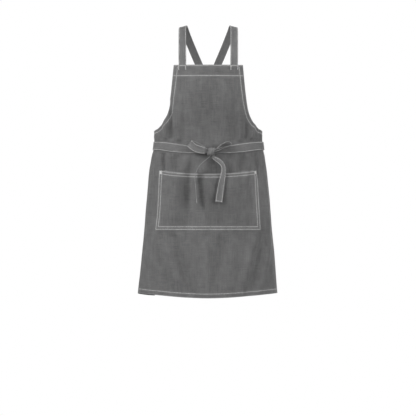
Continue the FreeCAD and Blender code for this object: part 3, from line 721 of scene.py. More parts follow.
def chambray(name, dark, light, worn):
    """Plain-woven grey cotton: dark warp and pale weft, uneven yarns, soft mottling and rubbed edges."""
    material, tree, shader, grain = new_material(name)
    noises = {kind: noise_of(tree, grain, *row[:3]) for kind, row in UNEVENNESS.items()}

    parts = new_node(tree, "ShaderNodeSeparateXYZ", {0: grain})
    warp, weft = (
        maths(tree, "SINE", maths(tree, "MULTIPLY", parts.outputs[way], 2 * math.pi / YARN)) for way in "XY"
    )
    weave = maths(tree, "MULTIPLY_ADD", maths(tree, "MULTIPLY", warp, weft), 0.5, 0.5)

    tones = [(noises[kind], row[3]) for kind, row in UNEVENNESS.items()]
    ramp = new_node(tree, "ShaderNodeValToRGB", {"Fac": weighted_sum(tree, tones + [(weave, WEAVE_SHARE)])})
    for element, tone, color in zip(ramp.color_ramp.elements, TONE_RANGE, (dark, light)):
        element.position = tone
        element.color = (*color, 1.0)

    wear = new_node(tree, "ShaderNodeAttribute", attribute_name="wear").outputs["Fac"]
    rubbed = maths(tree, "MULTIPLY", wear, maths(tree, "MULTIPLY_ADD", noises["flecks"], 1.1, 0.15))
    tree.links.new(mixed(tree, rubbed, ramp.outputs["Color"], worn), shader.inputs["Base Color"])

    rough = maths(tree, "MULTIPLY_ADD", noises["mottle"], 0.14, 0.78)
    tree.links.new(rough, shader.inputs["Roughness"])
    shader.inputs["Specular IOR Level"].default_value = 0.28
    shader.inputs["Sheen Weight"].default_value = 0.22
    shader.inputs["Sheen Roughness"].default_value = 0.45

    crinkle = bump(tree, 0.55, 0.0022, noise_of(tree, grain, 95.0, 52.0, 3.0))
    raised = (weave, noises["warp slubs"], noises["weft slubs"])
    yarns = weighted_sum(tree, [(height, 0.5) for height in raised])
    tree.links.new(bump(tree, 0.6, 0.0003, yarns, crinkle), shader.inputs["Normal"])
    return material


def grey(value, warm=0.0):
    """Red, green and blue of a grey, a little warmer or not."""
    return (value * (1 + warm), value, value * (1 - warm))


def thread_material():
    """Pale spun thread, a little uneven from stitch to stitch."""
    material, tree, shader, grain = new_material("thread")
    tone = new_node(tree, "ShaderNodeAttribute", attribute_name="wear").outputs["Fac"]
    tree.links.new(mixed(tree, tone, grey(0.62, 0.01), grey(0.9, 0.01)), shader.inputs["Base Color"])
    twist = bump(tree, 0.6, 0.0002, noise_of(tree, grain, 1500.0, 5000.0, 1.0))
    tree.links.new(twist, shader.inputs["Normal"])
    shader.inputs["Roughness"].default_value = 0.55
    shader.inputs["Sheen Weight"].default_value = 0.1
    return material


MATERIALS = {
    "body_cloth": chambray("body_cloth", grey(0.088), grey(0.190), grey(0.36)),
    "pocket_cloth": chambray("pocket_cloth", grey(0.092), grey(0.196), grey(0.36)),
    "lining_cloth": chambray("lining_cloth", grey(0.100), grey(0.200), grey(0.34)),
    "strap_cloth": chambray("strap_cloth", grey(0.102), grey(0.214), grey(0.36)),
    "thread": thread_material(),
}

# ---- meshes


def add_piece(name, points, faces, grain, wear, slot, replaced=(), body="apron"):
    """A piece of the apron from points in millimetres, riding on a body unless that is None."""
    mesh = bpy.data.meshes.new(name)
    mesh.from_pydata(row_frame(points).tolist(), [], faces)
    layer = mesh.uv_layers.new(name="grain")
    corner_points = np.zeros(len(mesh.loops), int)
    mesh.loops.foreach_get("vertex_index", corner_points)
    layer.data.foreach_set("uv", (grain[corner_points] / 1000.0).astype(np.float32).ravel())
    worn = mesh.attributes.new("wear", "FLOAT", "POINT")
    worn.data.foreach_set("value", np.clip(wear, 0.0, 1.0).astype(np.float32))
    mesh.polygons.foreach_set("use_smooth", np.ones(len(mesh.polygons), bool))
    mesh.materials.append(MATERIALS[slot])
    mesh.validate()
    piece = bpy.data.objects.new(name, mesh)
    bpy.context.scene.collection.objects.link(piece)
    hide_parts(*replaced)
    if body:
        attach(piece, body)
    return piece


def loop_of(outline):
    """The points round an outline, each of them once."""
    return np.concatenate([run[:-1] for run in outline])


def closed(loop):
    """The loop with its first point again at its end."""
    return np.vstack([loop, loop[:1]])


def tube_faces(rings, size):
    """The faces of a tube of rings with the given number of points, and its two ends."""
    faces = []
    for i in range(rings - 1):
        for j in range(size):
            k = (j + 1) % size
            faces.append((i * size + j, i * size + k, (i + 1) * size + k, (i + 1) * size + j))
    faces.append(tuple(range(size))[::-1])
    faces.append(tuple((rings - 1) * size + j for j in range(size)))
    return faces


def inside_loop(points, loop):
    """Whether each point lies inside a closed line."""
    result = np.zeros(len(points), bool)
    ends = np.roll(loop, -1, axis=0)
    for (x0, y0), (x1, y1) in zip(loop, ends):
        if y0 == y1:
            continue
        crosses = (points[:, 1] < y0) != (points[:, 1] < y1)
        result ^= crosses & (points[:, 0] < x0 + (points[:, 1] - y0) * (x1 - x0) / (y1 - y0))
    return result


RIM_INSET = 1.0             # a line of points runs this far inside the cloth's edge
EDGE_CLEAR = 2.4            # no other point comes nearer to the edge
ROW_SIDE = 2.1              # lines of points run this far to each side of a row of stitching


def cut_cloth(outline, spacing, rows=()):
    """A flat piece cut along the outline, given as runs counterclockwise: its points and triangles."""
    loop = loop_of(outline)
    ends = np.roll(loop, -1, axis=0)
    ahead = ends - np.roll(loop, 1, axis=0)
    ahead /= np.linalg.norm(ahead, axis=1)[:, None]
    rim = loop + np.column_stack([-ahead[:, 1], ahead[:, 0]]) * RIM_INSET

    sewn = [inset(row, shift) for row in rows for shift in (-ROW_SIDE, 0.0, ROW_SIDE)]
    sewn = np.concatenate(sewn) if sewn else np.zeros((0, 2))
    low, high = loop.min(axis=0), loop.max(axis=0)
    rise_step = spacing * math.sqrt(3) / 2
    grid = []
    for i, v in enumerate(np.arange(low[1], high[1], rise_step)):
        u = np.arange(low[0] + (i % 2) * spacing / 2, high[0], spacing)
        grid.append(np.column_stack([u, np.full(len(u), v)]))
    grid = np.concatenate(grid)
    for row in rows:
        grid = grid[distance_to(row, grid) > ROW_SIDE + spacing * 0.5]
    points = np.concatenate([sewn, grid])
    points = points[inside_loop(points, loop)]
    points = points[distance_to(closed(loop), points) > EDGE_CLEAR]
    everything = np.concatenate([loop, rim, points])

    found = delaunay_2d_cdt([Vector(p) for p in everything], [], [list(range(len(loop)))], 1, 1e-3)
    return np.array([tuple(p) for p in found[0]]), np.array([tuple(f) for f in found[2]])


RIM_BULGE = 0.45            # the cut edge is rounded out by this share of the thickness
EDGE_WEAR = (0.85, 1.6)     # how rubbed the edge is, and how far in that reaches
ROW_WEAR = (0.42, 3.4)      # the same along rows of stitching


def add_cloth(name, outline, place, slot, node, rows=(), spacing=CLOTH_MESH):
    """A closed piece of cloth. place(u, z, share) gives its points: share 0 inside, 1 outside."""
    flat, triangles = cut_cloth(outline, spacing, rows)
    a, b, c = (flat[triangles[:, i]] for i in range(3))
    turned = (b[:, 0] - a[:, 0]) * (c[:, 1] - a[:, 1]) - (b[:, 1] - a[:, 1]) * (c[:, 0] - a[:, 0]) < 0
    triangles[turned] = triangles[turned][:, ::-1]

    edges = np.concatenate([triangles[:, [0, 1]], triangles[:, [1, 2]], triangles[:, [2, 0]]])
    keys = {tuple(edge) for edge in edges.tolist()}
    border = np.array([edge for edge in edges.tolist() if (edge[1], edge[0]) not in keys])
    way = flat[border[:, 1]] - flat[border[:, 0]]
    way = np.column_stack([way[:, 1], -way[:, 0]])
    outward = np.zeros_like(flat)
    for end in (0, 1):
        np.add.at(outward, border[:, end], way)
    rim_points = np.unique(border)
    push = outward[rim_points]
    push /= np.linalg.norm(push, axis=1)[:, None]
    rim = flat[rim_points] + push * CLOTH * RIM_BULGE

    count = len(flat)
    rim_index = np.zeros(count, int)
    rim_index[rim_points] = 2 * count + np.arange(len(rim_points))
    faces = triangles.tolist() + (triangles[:, ::-1] + count).tolist()
    for i, j in border.tolist():
        faces.append((j, i, rim_index[i], rim_index[j]))
        faces.append((rim_index[j], rim_index[i], i + count, j + count))

    points = np.concatenate([place(*line.T, share) for line, share in ((flat, 1.0), (flat, 0.0), (rim, 0.5))])
    wear = EDGE_WEAR[0] * np.exp(-distance_to(closed(loop_of(outline)), flat) / EDGE_WEAR[1])
    for row in rows:
        wear = np.maximum(wear, ROW_WEAR[0] * np.exp(-((distance_to(row, flat) / ROW_WEAR[1]) ** 2)))
    wear = np.concatenate([wear, wear, np.ones(len(rim_points))])
    add_piece(name, points, faces, np.concatenate([flat, flat, rim]), wear, slot, [node])


def along_body(place, thickness, low=0.0):
    """A cloth's place function: share 0 to 1 runs through its thickness, from low upwards."""
    return lambda u, z, share: place(u, z, low + share * thickness)


# ---- the body, its facings and its hems

add_cloth("apron_body", body_outline, along_body(on_cloth, CLOTH), "body_cloth", "body_panel", body_rows)


def strip_outline(line, start, end):
    """The outline, counterclockwise, of a strip from start to end to the right of a line, in distances."""
    return band_between(inset(line, end), inset(line, start)[::-1])


def mirrored_outline(outline):
    """The outline on the other side of the centre front, still counterclockwise."""
    return [flipped(run)[::-1] for run in outline[::-1]]


facing_line = armhole(BAND_HEIGHT + 2.0)
facing = strip_outline(facing_line, EDGE_INSET, tapered(facing_line, ARMHOLE_FACING_TOP, ARMHOLE_FACING_END))
back_line = np.array([(418.0, hem_corner[1] + HEM_TURN + 4.0), (361.2, BACK_TURN_TOP)])
back_turn = strip_outline(back_line, -BACK_TURN, -EDGE_INSET)
band_corner = np.array([band_girth, band_bottom])
band_top = np.array([bib_corner[0] - 1.0, FRONT_LENGTH - EDGE_INSET])
band = band_between([flipped(band_corner), band_corner], [band_top, flipped(band_top)])
hem_turn = strip_outline(line_above_hem(1.0, 0.0), -HEM_TURN, -EDGE_INSET)
for name, outline, node in (
    ("left_armhole_hem", mirrored_outline(facing), "left_armhole_facing"),
    ("left_back_hem", mirrored_outline(back_turn), "left_back_edge_turn"),
    ("right_armhole_hem", facing, "right_armhole_facing"),
    ("right_back_hem", back_turn, "right_back_edge_turn"),
    ("bib_hem", band, "bib_top_facing"),
    ("bottom_hem", hem_turn, "bottom_hem_turn"),
):
    add_cloth(name, outline, along_body(on_cloth, CLOTH, -GAP - CLOTH), "lining_cloth", node)

# ---- the pocket

add_cloth(
    "patch_pocket", pocket_outline, along_body(on_pocket, CLOTH), "pocket_cloth", "pocket_panel", pocket_rows,
    POCKET_MESH,
)

MOUTH_END = 20.0            # the mouth's turn stops this far short of each side of the pocket

mouth_top, mouth_low = (pocket_mouth(depth) for depth in POCKET_TURN)
for line in (mouth_top, mouth_low):
    line[:, 0] *= (line[-1, 0] - MOUTH_END) / line[-1, 0]
add_cloth(
    "pocket_mouth_hem", band_between(mouth_low, mouth_top[::-1]), along_body(on_pocket, CLOTH, -GAP - CLOTH),
    "lining_cloth", "pocket_mouth_turn",
)

# ---- tapes: straps, ties, loops and tails

# Across a tape: distance in from the edge, and height as a share of half its thickness
TAPE_EDGE = [(0.0, 0.0), (0.25, 0.7), (1.0, 1.12), (2.5, 0.62), (4.0, 1.0), (7.0, 1.0)]
TAPE_STITCH_INSET = 2.5     # from a tape's edge to its row of stitching


def tape_ring(width, thickness):
    """Points round a tape's section, as (sideways, out)."""
    left = [(-width / 2 + min(d, width * 0.24), share * thickness / 2) for d, share in TAPE_EDGE]
    top = left + [(-width * 0.12, thickness / 2), (0.0, thickness / 2), (width * 0.12, thickness / 2)]
    top += [(-x, h) for x, h in left[::-1]]
    return np.array(top + [(x, -h) for x, h in top[-2:0:-1]])


def tape_frames(centres, across):
    """Across and out directions at each station of a tape in free space."""
    ahead = np.gradient(centres, axis=0)
    ahead /= np.linalg.norm(ahead, axis=1)[:, None]
    out = np.cross(across, ahead)
    out /= np.linalg.norm(out, axis=1)[:, None]
    return np.cross(ahead, out), out


def add_tape(name, place, lengths, widths, thickness, node, wave, seed, pleats=0.0, body="apron"):
    """A flat tube of cloth. place(station, sideways, out) gives its points.

    lengths and widths have one value for each station. wave is how far the tape's middle strays out of flat,
    and pleats grow where the tape is drawn together.
    """
    full = widths.max()
    rings, grain, wear = [], [], []
    for i, (length, width) in enumerate(zip(lengths, widths)):
        ring = tape_ring(width, thickness)
        share = ring[:, 0] / width
        stray = wave * soft_noise(np.full(len(ring), length / 34.0), share * 1.3 + 5.0, seed)
        stray += wave * 0.4 * soft_noise(np.full(len(ring), length / 12.0), share * 2.5 + 9.0, seed + 1)
        drawn = 1 - width / full
        stray += pleats * drawn * np.cos(share * 2 * np.pi * 3.0 + seed)
        from_seam = np.abs(ring[:, 0]) - width / 2 + TAPE_STITCH_INSET
        stray -= 0.16 * np.cos(length * 2 * np.pi / 9.5) * np.exp(-((from_seam / 2.0) ** 2))
        rings.append(place(i, ring[:, 0], ring[:, 1] + stray))
        grain.append(np.column_stack([share * full, np.full(len(ring), length)]))
        wear.append(0.8 * np.exp(-(width / 2 - np.abs(ring[:, 0])) / 1.2))
    points, grain, wear = (np.concatenate(rows) for rows in (rings, grain, wear))
    faces = tube_faces(len(rings), len(rings[0]))
    return add_piece(name, points, faces, grain, wear, "strap_cloth", [node], body)


def free_tape(table, step):
    """A tape through (x, y, height, across x, y, z, width) rows: its place function, lengths and widths."""
    table = np.asarray(table, float)
    far = distances(table[:, :3])
    lengths = np.linspace(0, far[-1], int(far[-1] / step) + 1)
    rows = hermite(np.column_stack([far, table]), lengths)
    centres, widths = rows[:, :3], rows[:, 6]
    across, out = tape_frames(centres, rows[:, 3:6])

    def place(i, sideways, height):
        return centres[i] + np.outer(sideways, across[i]) + np.outer(height, out[i])

    return place, distances(centres), widths


STRAP_FOOT_X = BIB_HALF_WIDTH - 31.0
INSIDE_FACING = -GAP - CLOTH - 1.0 - STRAP_THICKNESS / 2
WING_FOOT = np.array([345.0, 603.0])        # where the strap passes the wing's top edge
WING_WAY = np.array([-0.53, -0.85])         # its direction from there, down the wing
WING_ACROSS = np.array([-8.5, 5.3])         # the direction across the strap there
WING_ROWS = (0.0, 13.0, 26.0, 40.0)         # how far down the wing its course is given
FOOT_ROWS = (813.0, 831.0, 849.0)           # heights where the strap lies behind the bib's facing

# The strap between bib and wing: x, y, height, across direction, and the share of its lay that y takes on
STRAP_COURSE = [
    (-95.0, -67.0, 893.0, 1.0, 0.1, 0.0, 0.0),
    (-95.0, -46.0, 943.0, 1.0, 0.0, 0.0, 0.0),
    (-95.0, -28.0, 979.0, 1.0, 0.0, 0.05, 0.0),
    (-94.0, -12.0, 993.0, 0.98, 0.0, 0.18, 0.0),
    (-92.0, 3.0, 996.0, 0.96, 0.0, 0.28, 0.0),
    (-88.5, 17.0, 990.0, 0.94, 0.0, 0.34, 0.0),
    (-81.5, 32.0, 971.0, 0.93, 0.0, 0.38, 0.0),
    (-65.0, 54.0, 930.0, 0.91, 0.0, 0.41, 0.0),
    (-40.0, 74.0, 872.0, 0.91, 0.0, 0.41, 0.0),
    (1.0, 84.0, 780.0, 0.89, 0.0, 0.45, 1.0),
    (45.0, 78.0, 709.0, 0.86, -0.04, 0.50, 0.6),
    (83.0, 69.0, 651.0, 0.84, -0.12, 0.53, 0.0),
]


def unit(vector):
    """The vector at a length of one."""
    return vector / np.linalg.norm(vector)


def strap_row(near, far):
    """A row of a strap's table where it is sewn behind the cloth, from near to far across it, both (u, z)."""
    point, ahead = (on_body(*place, INSIDE_FACING) for place in (near, far))
    return (*point, *unit(ahead - point), STRAP_WIDTH)


def strap_table(lay):
    """The strap that starts at the left of the bib and ends on the right wing, lay outside the other one."""
    foot = [[(-girth_at(x, z), z) for x in (STRAP_FOOT_X, STRAP_FOOT_X - 10.0)] for z in FOOT_ROWS]
    ends = [WING_FOOT + WING_WAY * far for far in WING_ROWS]
    return [
        *[strap_row(*places) for places in foot],
        *[(x, y + lay * share, z, *across, STRAP_WIDTH) for x, y, z, *across, share in STRAP_COURSE],
        *[strap_row(end, end + WING_ACROSS) for end in ends],
    ]


# ---- stitches

stitch_rng = np.random.default_rng(77)
STITCH_SIDES = 6
STITCH_FLATNESS = 0.36      # a stitch's height as a share of its width
SURFACE_REACH = 1.5         # a cloth's slope is taken between points this far either side

# Rings of one stitch: place along it, thickness and height, as shares of its length and width
STITCH_RINGS = [
    (-0.5, 0.0, -0.5),
    (-0.40, 0.75, -0.15),
    (-0.14, 1.0, 0.0),
    (0.14, 1.0, 0.0),
    (0.40, 0.75, -0.15),
    (0.5, 0.0, -0.5),
]


def stitches_along(line, normals, pitch=STITCH_PITCH, fill=0.86):
    """Middles, chords and normals of the stitches of one row."""
    far = distances(line)
    count = max(int(round(far[-1] / pitch)), 1)
    step = far[-1] / count
    starts = (np.arange(count) + (1 - fill) / 2) * step + stitch_rng.uniform(-0.12, 0.12, count)
    first = np.column_stack([np.interp(starts, far, line[:, k]) for k in range(3)])
    last = np.column_stack([np.interp(starts + fill * step, far, line[:, k]) for k in range(3)])
    normal = np.column_stack([np.interp(starts + step / 2, far, normals[:, k]) for k in range(3)])
    return (first + last) / 2, last - first, normal


def add_stitches(name, rows, replaced=(), width=STITCH_WIDTH, body="apron"):
    """Short raised stitches, each a small lozenge of thread, along rows of (middles, chords, normals)."""
    middles, chords, normals = (np.concatenate([row[k] for row in rows]) for k in range(3))
    sizes = np.linalg.norm(chords, axis=1)
    ahead = chords / sizes[:, None]
    normals = normals - (normals * ahead).sum(axis=1)[:, None] * ahead
    normals /= np.linalg.norm(normals, axis=1)[:, None]
    sideways = np.cross(ahead, normals)
    middles = middles + sideways * stitch_rng.normal(0.0, 0.09, len(middles))[:, None]
    widths = width * stitch_rng.uniform(0.9, 1.1, len(middles))
    tones = stitch_rng.uniform(0.0, 1.0, len(middles))

    template = []
    for place, size, height in STITCH_RINGS:
        sides = 1 if size == 0 else STITCH_SIDES
        for k in range(sides):
            angle = 2 * math.pi * k / STITCH_SIDES
            up = (size * math.sin(angle) + height) * STITCH_FLATNESS
            template.append((place, size * math.cos(angle) / 2, up))
    template = np.array(template)
    points = (
        middles[:, None]
        + chords[:, None] * template[None, :, :1]
        + sideways[:, None] * template[None, :, 1:2] * widths[:, None, None]
        + normals[:, None] * template[None, :, 2:] * widths[:, None, None]
    )

    pattern = []
    last = len(template) - 1
    for k in range(STITCH_SIDES):
        n = (k + 1) % STITCH_SIDES
        pattern.append((0, 1 + n, 1 + k))
        for ring in range(3):
            a, b = 1 + ring * STITCH_SIDES, 1 + (ring + 1) * STITCH_SIDES
            pattern.append((a + k, a + n, b + n, b + k))
        pattern.append((1 + 3 * STITCH_SIDES + k, 1 + 3 * STITCH_SIDES + n, last))
    faces = []
    for s in range(len(middles)):
        base = s * len(template)
        faces += [tuple(base + i for i in face) for face in pattern]
    lengths = np.cumsum(sizes)[:, None] + template[None, :, 0] * sizes[:, None]
    across = np.broadcast_to(template[:, 1] * width, lengths.shape)
    grain = np.stack([across, lengths], axis=-1).reshape(-1, 2)
    wear = np.repeat(tones, len(template))
    return add_piece(name, points.reshape(-1, 3), faces, grain, wear, "thread", replaced=replaced, body=body)


def sewn_on(place, row, lift, **how):
    """Stitches along a row in pattern coordinates, on a cloth whose outer face is at lift."""
    row = smooth_line(row, 1.2)
    u, z = row[:, 0], row[:, 1]
    lift += THREAD_LIFT
    beside = place(u + SURFACE_REACH, z, lift) - place(u - SURFACE_REACH, z, lift)
    above = place(u, z + SURFACE_REACH, lift) - place(u, z - SURFACE_REACH, lift)
    normals = np.cross(beside, above)
    return stitches_along(place(u, z, lift), normals / np.linalg.norm(normals, axis=1)[:, None], **how)


def sew(name, place, rows, node, lift=CLOTH, **how):
    """A piece of stitching along rows on a cloth, in place of one node."""
    add_stitches(name, [sewn_on(place, row, lift, **how) for row in rows], [node])


def box_rows(centre, ahead, length, width):
    """The four rows of a box whose length lies along the given direction."""
    a = unit(np.array(ahead, float))
    b = np.array([-a[1], a[0]])
    ends = [centre + a * i * length / 2 + b * j * width / 2 for i, j in ((-1, -1), (1, -1), (1, 1), (-1, 1))]
    return [np.array([ends[i], ends[(i + 1) % 4]]) for i in range(4)]


sew("bib_stitches", on_cloth, [top_row, band_row], "bib_top_stitching")
sew("armhole_stitches", on_cloth, [armhole_row, flipped(armhole_row)], "armhole_stitching")
sew("hem_stitches", on_cloth, [hem_row], "bottom_hem_stitching")
sew("back_edge_stitches", on_cloth, [back_row, flipped(back_row)], "back_edge_stitching")
sew("pocket_stitches", on_pocket, pocket_rows, "pocket_stitching")

# The bar tacks' size at the pocket's left and right corner, and how far in their middles are
TACK_SIZES = ((-1, (9.5, 10.5)), (1, (8.0, 8.5)))
TACK_INSET = 7.5
TACK_STITCHES = 13

tack_rows = []
for side, (wide, tall) in TACK_SIZES:
    centre_u, centre_z = side * (pocket_top_girth - TACK_INSET), POCKET_TOP - TACK_INSET
    for i in range(TACK_STITCHES):
        z = centre_z + tall * (i / (TACK_STITCHES - 1) - 0.5)
        tilt = 0.6 * (-1) ** i
        ends = np.array([(centre_u - wide / 2, z - tilt), (centre_u + wide / 2, z + tilt)])
        tack_rows.append(sewn_on(on_pocket, ends, CLOTH + 0.25, pitch=wide, fill=0.98))
add_stitches("pocket_tacks", tack_rows, ["pocket_bar_tacks"], width=1.0)

# The tacks at each edge of a strap's foot: their heights, and half the space between the two rows of each
FOOT_TACKS = (832.0, 847.0)
FOOT_TACK_SHIFT = 0.55

# The box of stitching on a wing: how far down the strap its middle is, and its length and width
WING_BOX_DOWN = 31.0
WING_BOX = (15.0, 19.0)

foot_girth = girth_at(STRAP_FOOT_X, 843.0)
foot_rows = []
for side in (-1, 1):
    for edge in (-1, 1):
        girth = side * foot_girth + edge * (STRAP_WIDTH / 2 - 1.0)
        for shift in (-FOOT_TACK_SHIFT, FOOT_TACK_SHIFT):
            foot_rows.append(np.array([(girth + shift, height) for height in FOOT_TACKS]))
sew("strap_tacks", on_cloth, foot_rows, "strap_front_tacks", CLOTH + 0.1, pitch=2.4)

wing_box = box_rows(WING_FOOT + WING_WAY * WING_BOX_DOWN, WING_WAY, *WING_BOX)
wing_boxes = wing_box + [flipped(row) for row in wing_box]
sew("strap_box_stitches", on_cloth, wing_boxes, "strap_back_stitching")

# ---- straps


def tape_stitches(place, widths, thickness, first, last):
    """Two rows of stitches on a tape's outer face, between two stations."""
    rows = []
    for side in (-1, 1):
        line, up = [], []
        for i in range(first, last):
            at = np.array([side * (widths[i] / 2 - min(TAPE_STITCH_INSET, widths[i] * 0.12))])
            low = place(i, at, np.array([thickness / 2 * 0.75 + THREAD_LIFT]))[0]
            high = place(i, at, np.array([thickness / 2 + 1.0]))[0]
            line.append(low)
            up.append(unit(high - low))
        rows.append(stitches_along(np.array(line), np.array(up)))
    return rows


def mirrored_place(place):
    """A tape's place function on the other side of the apron."""
    return lambda i, sideways, height: place(i, sideways, height) * np.array([-1.0, 1.0, 1.0])


strap_stitch_rows = []
for side, lay, seed in (("left", 3.0, 31), ("right", 0.0, 35)):
    place, lengths, widths = free_tape(strap_table(lay), 4.0)
    if side == "right":
        place = mirrored_place(place)
    node = side + "_shoulder_strap"
    add_tape(side + "_strap", place, lengths, widths, STRAP_THICKNESS, node, wave=0.7, seed=seed)
    first, last = np.searchsorted(lengths, (40.0, lengths[-1] - 46.0))
    strap_stitch_rows += tape_stitches(place, widths, STRAP_THICKNESS, first, last)
add_stitches("strap_stitches", strap_stitch_rows, ["strap_edge_stitching"])

# ---- waist ties

TIE_SIDE_HEIGHT = 556.0
TIE_BOX_CENTRE = np.array([346.5, 573.5])
TIE_BOX_WAY = (1.0, -0.06)
TIE_BOX = (19.0, 22.0)
side_line = float(2 * half_girth(TIE_SIDE_HEIGHT) - girth_at(500.0, TIE_SIDE_HEIGHT))
front_end = float(2 * half_girth(KNOT_HEIGHT + 1.0)) - KNOT_X

# One tie's course, from its own wing round the back and the far side to the knot: length round the body,
# height and width
TIE_PATH = [
    (334.0, 574.0, TIE_WIDTH),
    (372.0, 571.5, TIE_WIDTH),
    (425.0, 563.0, TIE_WIDTH),
    (float(half_girth(TIE_SIDE_HEIGHT)), 555.5, TIE_WIDTH),
    (520.0, 548.5, TIE_WIDTH),
    (590.0, 547.0, TIE_WIDTH),
    (side_line - 40.0, 552.5, TIE_WIDTH),
    (side_line, TIE_SIDE_HEIGHT, TIE_WIDTH),
    (side_line + 60.0, 554.5, TIE_WIDTH),
    (side_line + 120.0, 547.5, TIE_WIDTH),
    (front_end - 60.0, 540.0, 25.0),
    (front_end - 22.0, 535.5, 18.0),
    (front_end - 1.0, 533.5, 16.0),
]
RIGHT_TIE_LAY = CLOTH + 0.55
TIE_LAY = {"left": RIGHT_TIE_LAY + TIE_THICKNESS + 0.5, "right": RIGHT_TIE_LAY}

tie_line = smooth_line(TIE_PATH, 4.0)
tie_lengths = distances(tie_line[:, :2])
tie_ahead = np.gradient(tie_line[:, :2], axis=0)
tie_ahead /= np.linalg.norm(tie_ahead, axis=1)[:, None]
tie_stitch_rows, tie_end_rows = [], []
for side, lay in TIE_LAY.items():
    sign = -1.0 if side == "left" else 1.0

    def place(i, sideways, height, lay=lay, sign=sign):
        u = tie_line[i, 0] + tie_ahead[i, 1] * sideways
        z = tie_line[i, 1] - tie_ahead[i, 0] * sideways
        return on_body(sign * u, z, lay + TIE_THICKNESS / 2 + height)

    widths = tie_line[:, 2]
    add_tape(
        side + "_tie", place, tie_lengths, widths, TIE_THICKNESS, side + "_waist_tie",
        wave=0.35, seed=51 + int(sign), pleats=1.2,
    )
    tie_stitch_rows += tape_stitches(place, widths, TIE_THICKNESS, 8, len(tie_lengths) - 1)
    for row in box_rows(TIE_BOX_CENTRE, TIE_BOX_WAY, *TIE_BOX):
        tie_end_rows.append(sewn_on(on_body, row * np.array([sign, 1.0]), lay + TIE_THICKNESS))
add_stitches("tie_stitches", tie_stitch_rows, ["tie_edge_stitching"])
add_stitches("tie_box_stitches", tie_end_rows, ["tie_end_stitching"])

# ---- the bow

BOW_WIDTH = 28.0
root_left = KNOT_X - KNOT_RADIUS - KNOT_CLEAR
root_right = KNOT_X + KNOT_RADIUS + KNOT_CLEAR
root_low = KNOT_HEIGHT - KNOT_HALF_HEIGHT - KNOT_CLEAR

# Each row: x, y counted from the knot's centre, height, the across direction, width
LEFT_LOOP = [
    (root_left + 5.0, -1.0, 534.5, 0.0, 0.0, 1.0, 12.0),
    (root_left, -1.3, 535.0, 0.0, 0.0, 1.0, 16.0),
    (-17.0, -5.5, 537.0, 0.10, 0.0, 1.0, 25.0),
    (-34.0, -8.5, 541.0, 0.22, 0.0, 0.97, BOW_WIDTH),
    (-51.0, -9.0, 547.5, 0.42, 0.0, 0.91, BOW_WIDTH),
    (-63.0, -6.5, 557.5, 0.58, 0.0, 0.81, BOW_WIDTH),
    (-69.0, 0.0, 563.5, 0.63, 0.0, 0.77, BOW_WIDTH),
    (-62.5, 5.0, 561.0, 0.58, 0.0, 0.81, BOW_WIDTH),
    (-49.0, 6.0, 555.5, 0.44, 0.0, 0.90, BOW_WIDTH),
    (-32.0, 5.0, 548.0, 0.30, 0.0, 0.95, 26.0),
    (-16.0, 3.0, 541.0, 0.15, 0.0, 0.99, 20.0),
    (root_left, 1.3, 537.0, 0.0, 0.0, 1.0, 14.0),
    (root_left + 5.0, 1.0, 536.0, 0.0, 0.0, 1.0, 11.0),
]
RIGHT_LOOP = [
    (x, 0.0, height, 0.0, -1.0, 0.0, width)
    for x, height, width in (
        (root_right - 5.0, 537.5, 12.0),
        (root_right, 539.5, 15.0),
        (37.0, 550.0, 23.0),
        (52.0, 561.0, BOW_WIDTH),
        (68.0, 568.0, BOW_WIDTH),
        (80.0, 567.0, BOW_WIDTH),
        (84.0, 560.5, BOW_WIDTH),
        (77.0, 553.5, BOW_WIDTH),
        (62.0, 548.0, BOW_WIDTH),
        (46.0, 541.5, 24.0),
        (root_right, 533.5, 15.0),
        (root_right - 5.0, 532.5, 12.0),
    )
]
LEFT_TAIL = [
    (x, y, height, 0.0, 1.0, 0.0, width)
    for x, y, height, width in (
        (6.0, 0.0, root_low + 5.0, 12.0),
        (5.0, 0.0, root_low - 2.0, 14.0),
        (-5.0, -5.0, 506.0, 20.0),
        (-19.0, -13.5, 494.0, 26.0),
        (-31.5, -20.0, 480.5, BOW_WIDTH),
        (-41.0, -25.0, 465.0, BOW_WIDTH),
        (-46.5, -28.0, 449.0, BOW_WIDTH),
        (-47.8, -30.5, 430.0, BOW_WIDTH),
        (-46.0, -33.0, 405.0, BOW_WIDTH),
        (-43.5, -36.0, 374.0, BOW_WIDTH),
        (-41.4, -38.5, 344.5, BOW_WIDTH),
    )
]
RIGHT_TAIL = [
    (16.0, 0.0, root_low + 5.0, -1.0, 0.0, 0.0, 11.0),
    (17.5, 0.0, root_low - 4.5, -1.0, 0.0, 0.0, 12.0),
    (26.0, -3.0, 506.5, -0.80, 0.0, -0.60, 15.0),
    (41.0, -7.0, 497.0, -0.80, 0.0, -0.60, 17.0),
    (52.0, -10.5, 484.0, -0.95, 0.0, -0.30, 16.0),
    (56.0, -13.0, 468.0, -1.0, 0.0, 0.0, 16.5),
    (53.8, -15.0, 449.0, -1.0, 0.0, 0.10, 19.5),
    (50.0, -17.0, 428.0, -0.98, 0.0, 0.18, 22.0),
    (46.0, -19.0, 405.0, -0.98, 0.0, 0.18, 24.0),
    (42.0, -21.5, 378.0, -0.97, 0.0, 0.20, 25.5),
    (37.7, -24.5, 347.5, -0.96, 0.0, 0.24, 26.0),
]

# Each part of the bow: name, table, root, and the way on from the root
BOW_PARTS = [
    ("left_bow_loop", LEFT_LOOP, (root_left, KNOT_HEIGHT + 3.0), (-16.0, 0.0)),
    ("right_bow_loop", RIGHT_LOOP, (root_right, KNOT_HEIGHT + 3.5), (14.0, 8.0)),
    ("left_tie_tail", LEFT_TAIL, (5.0, root_low), (-8.0, -14.0)),
    ("right_tie_tail", RIGHT_TAIL, (17.0, root_low), (8.0, -14.0)),
]


def bend_from_knot(piece, part, root, way):
    """The piece's placement, baked into its mesh."""
    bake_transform(piece)


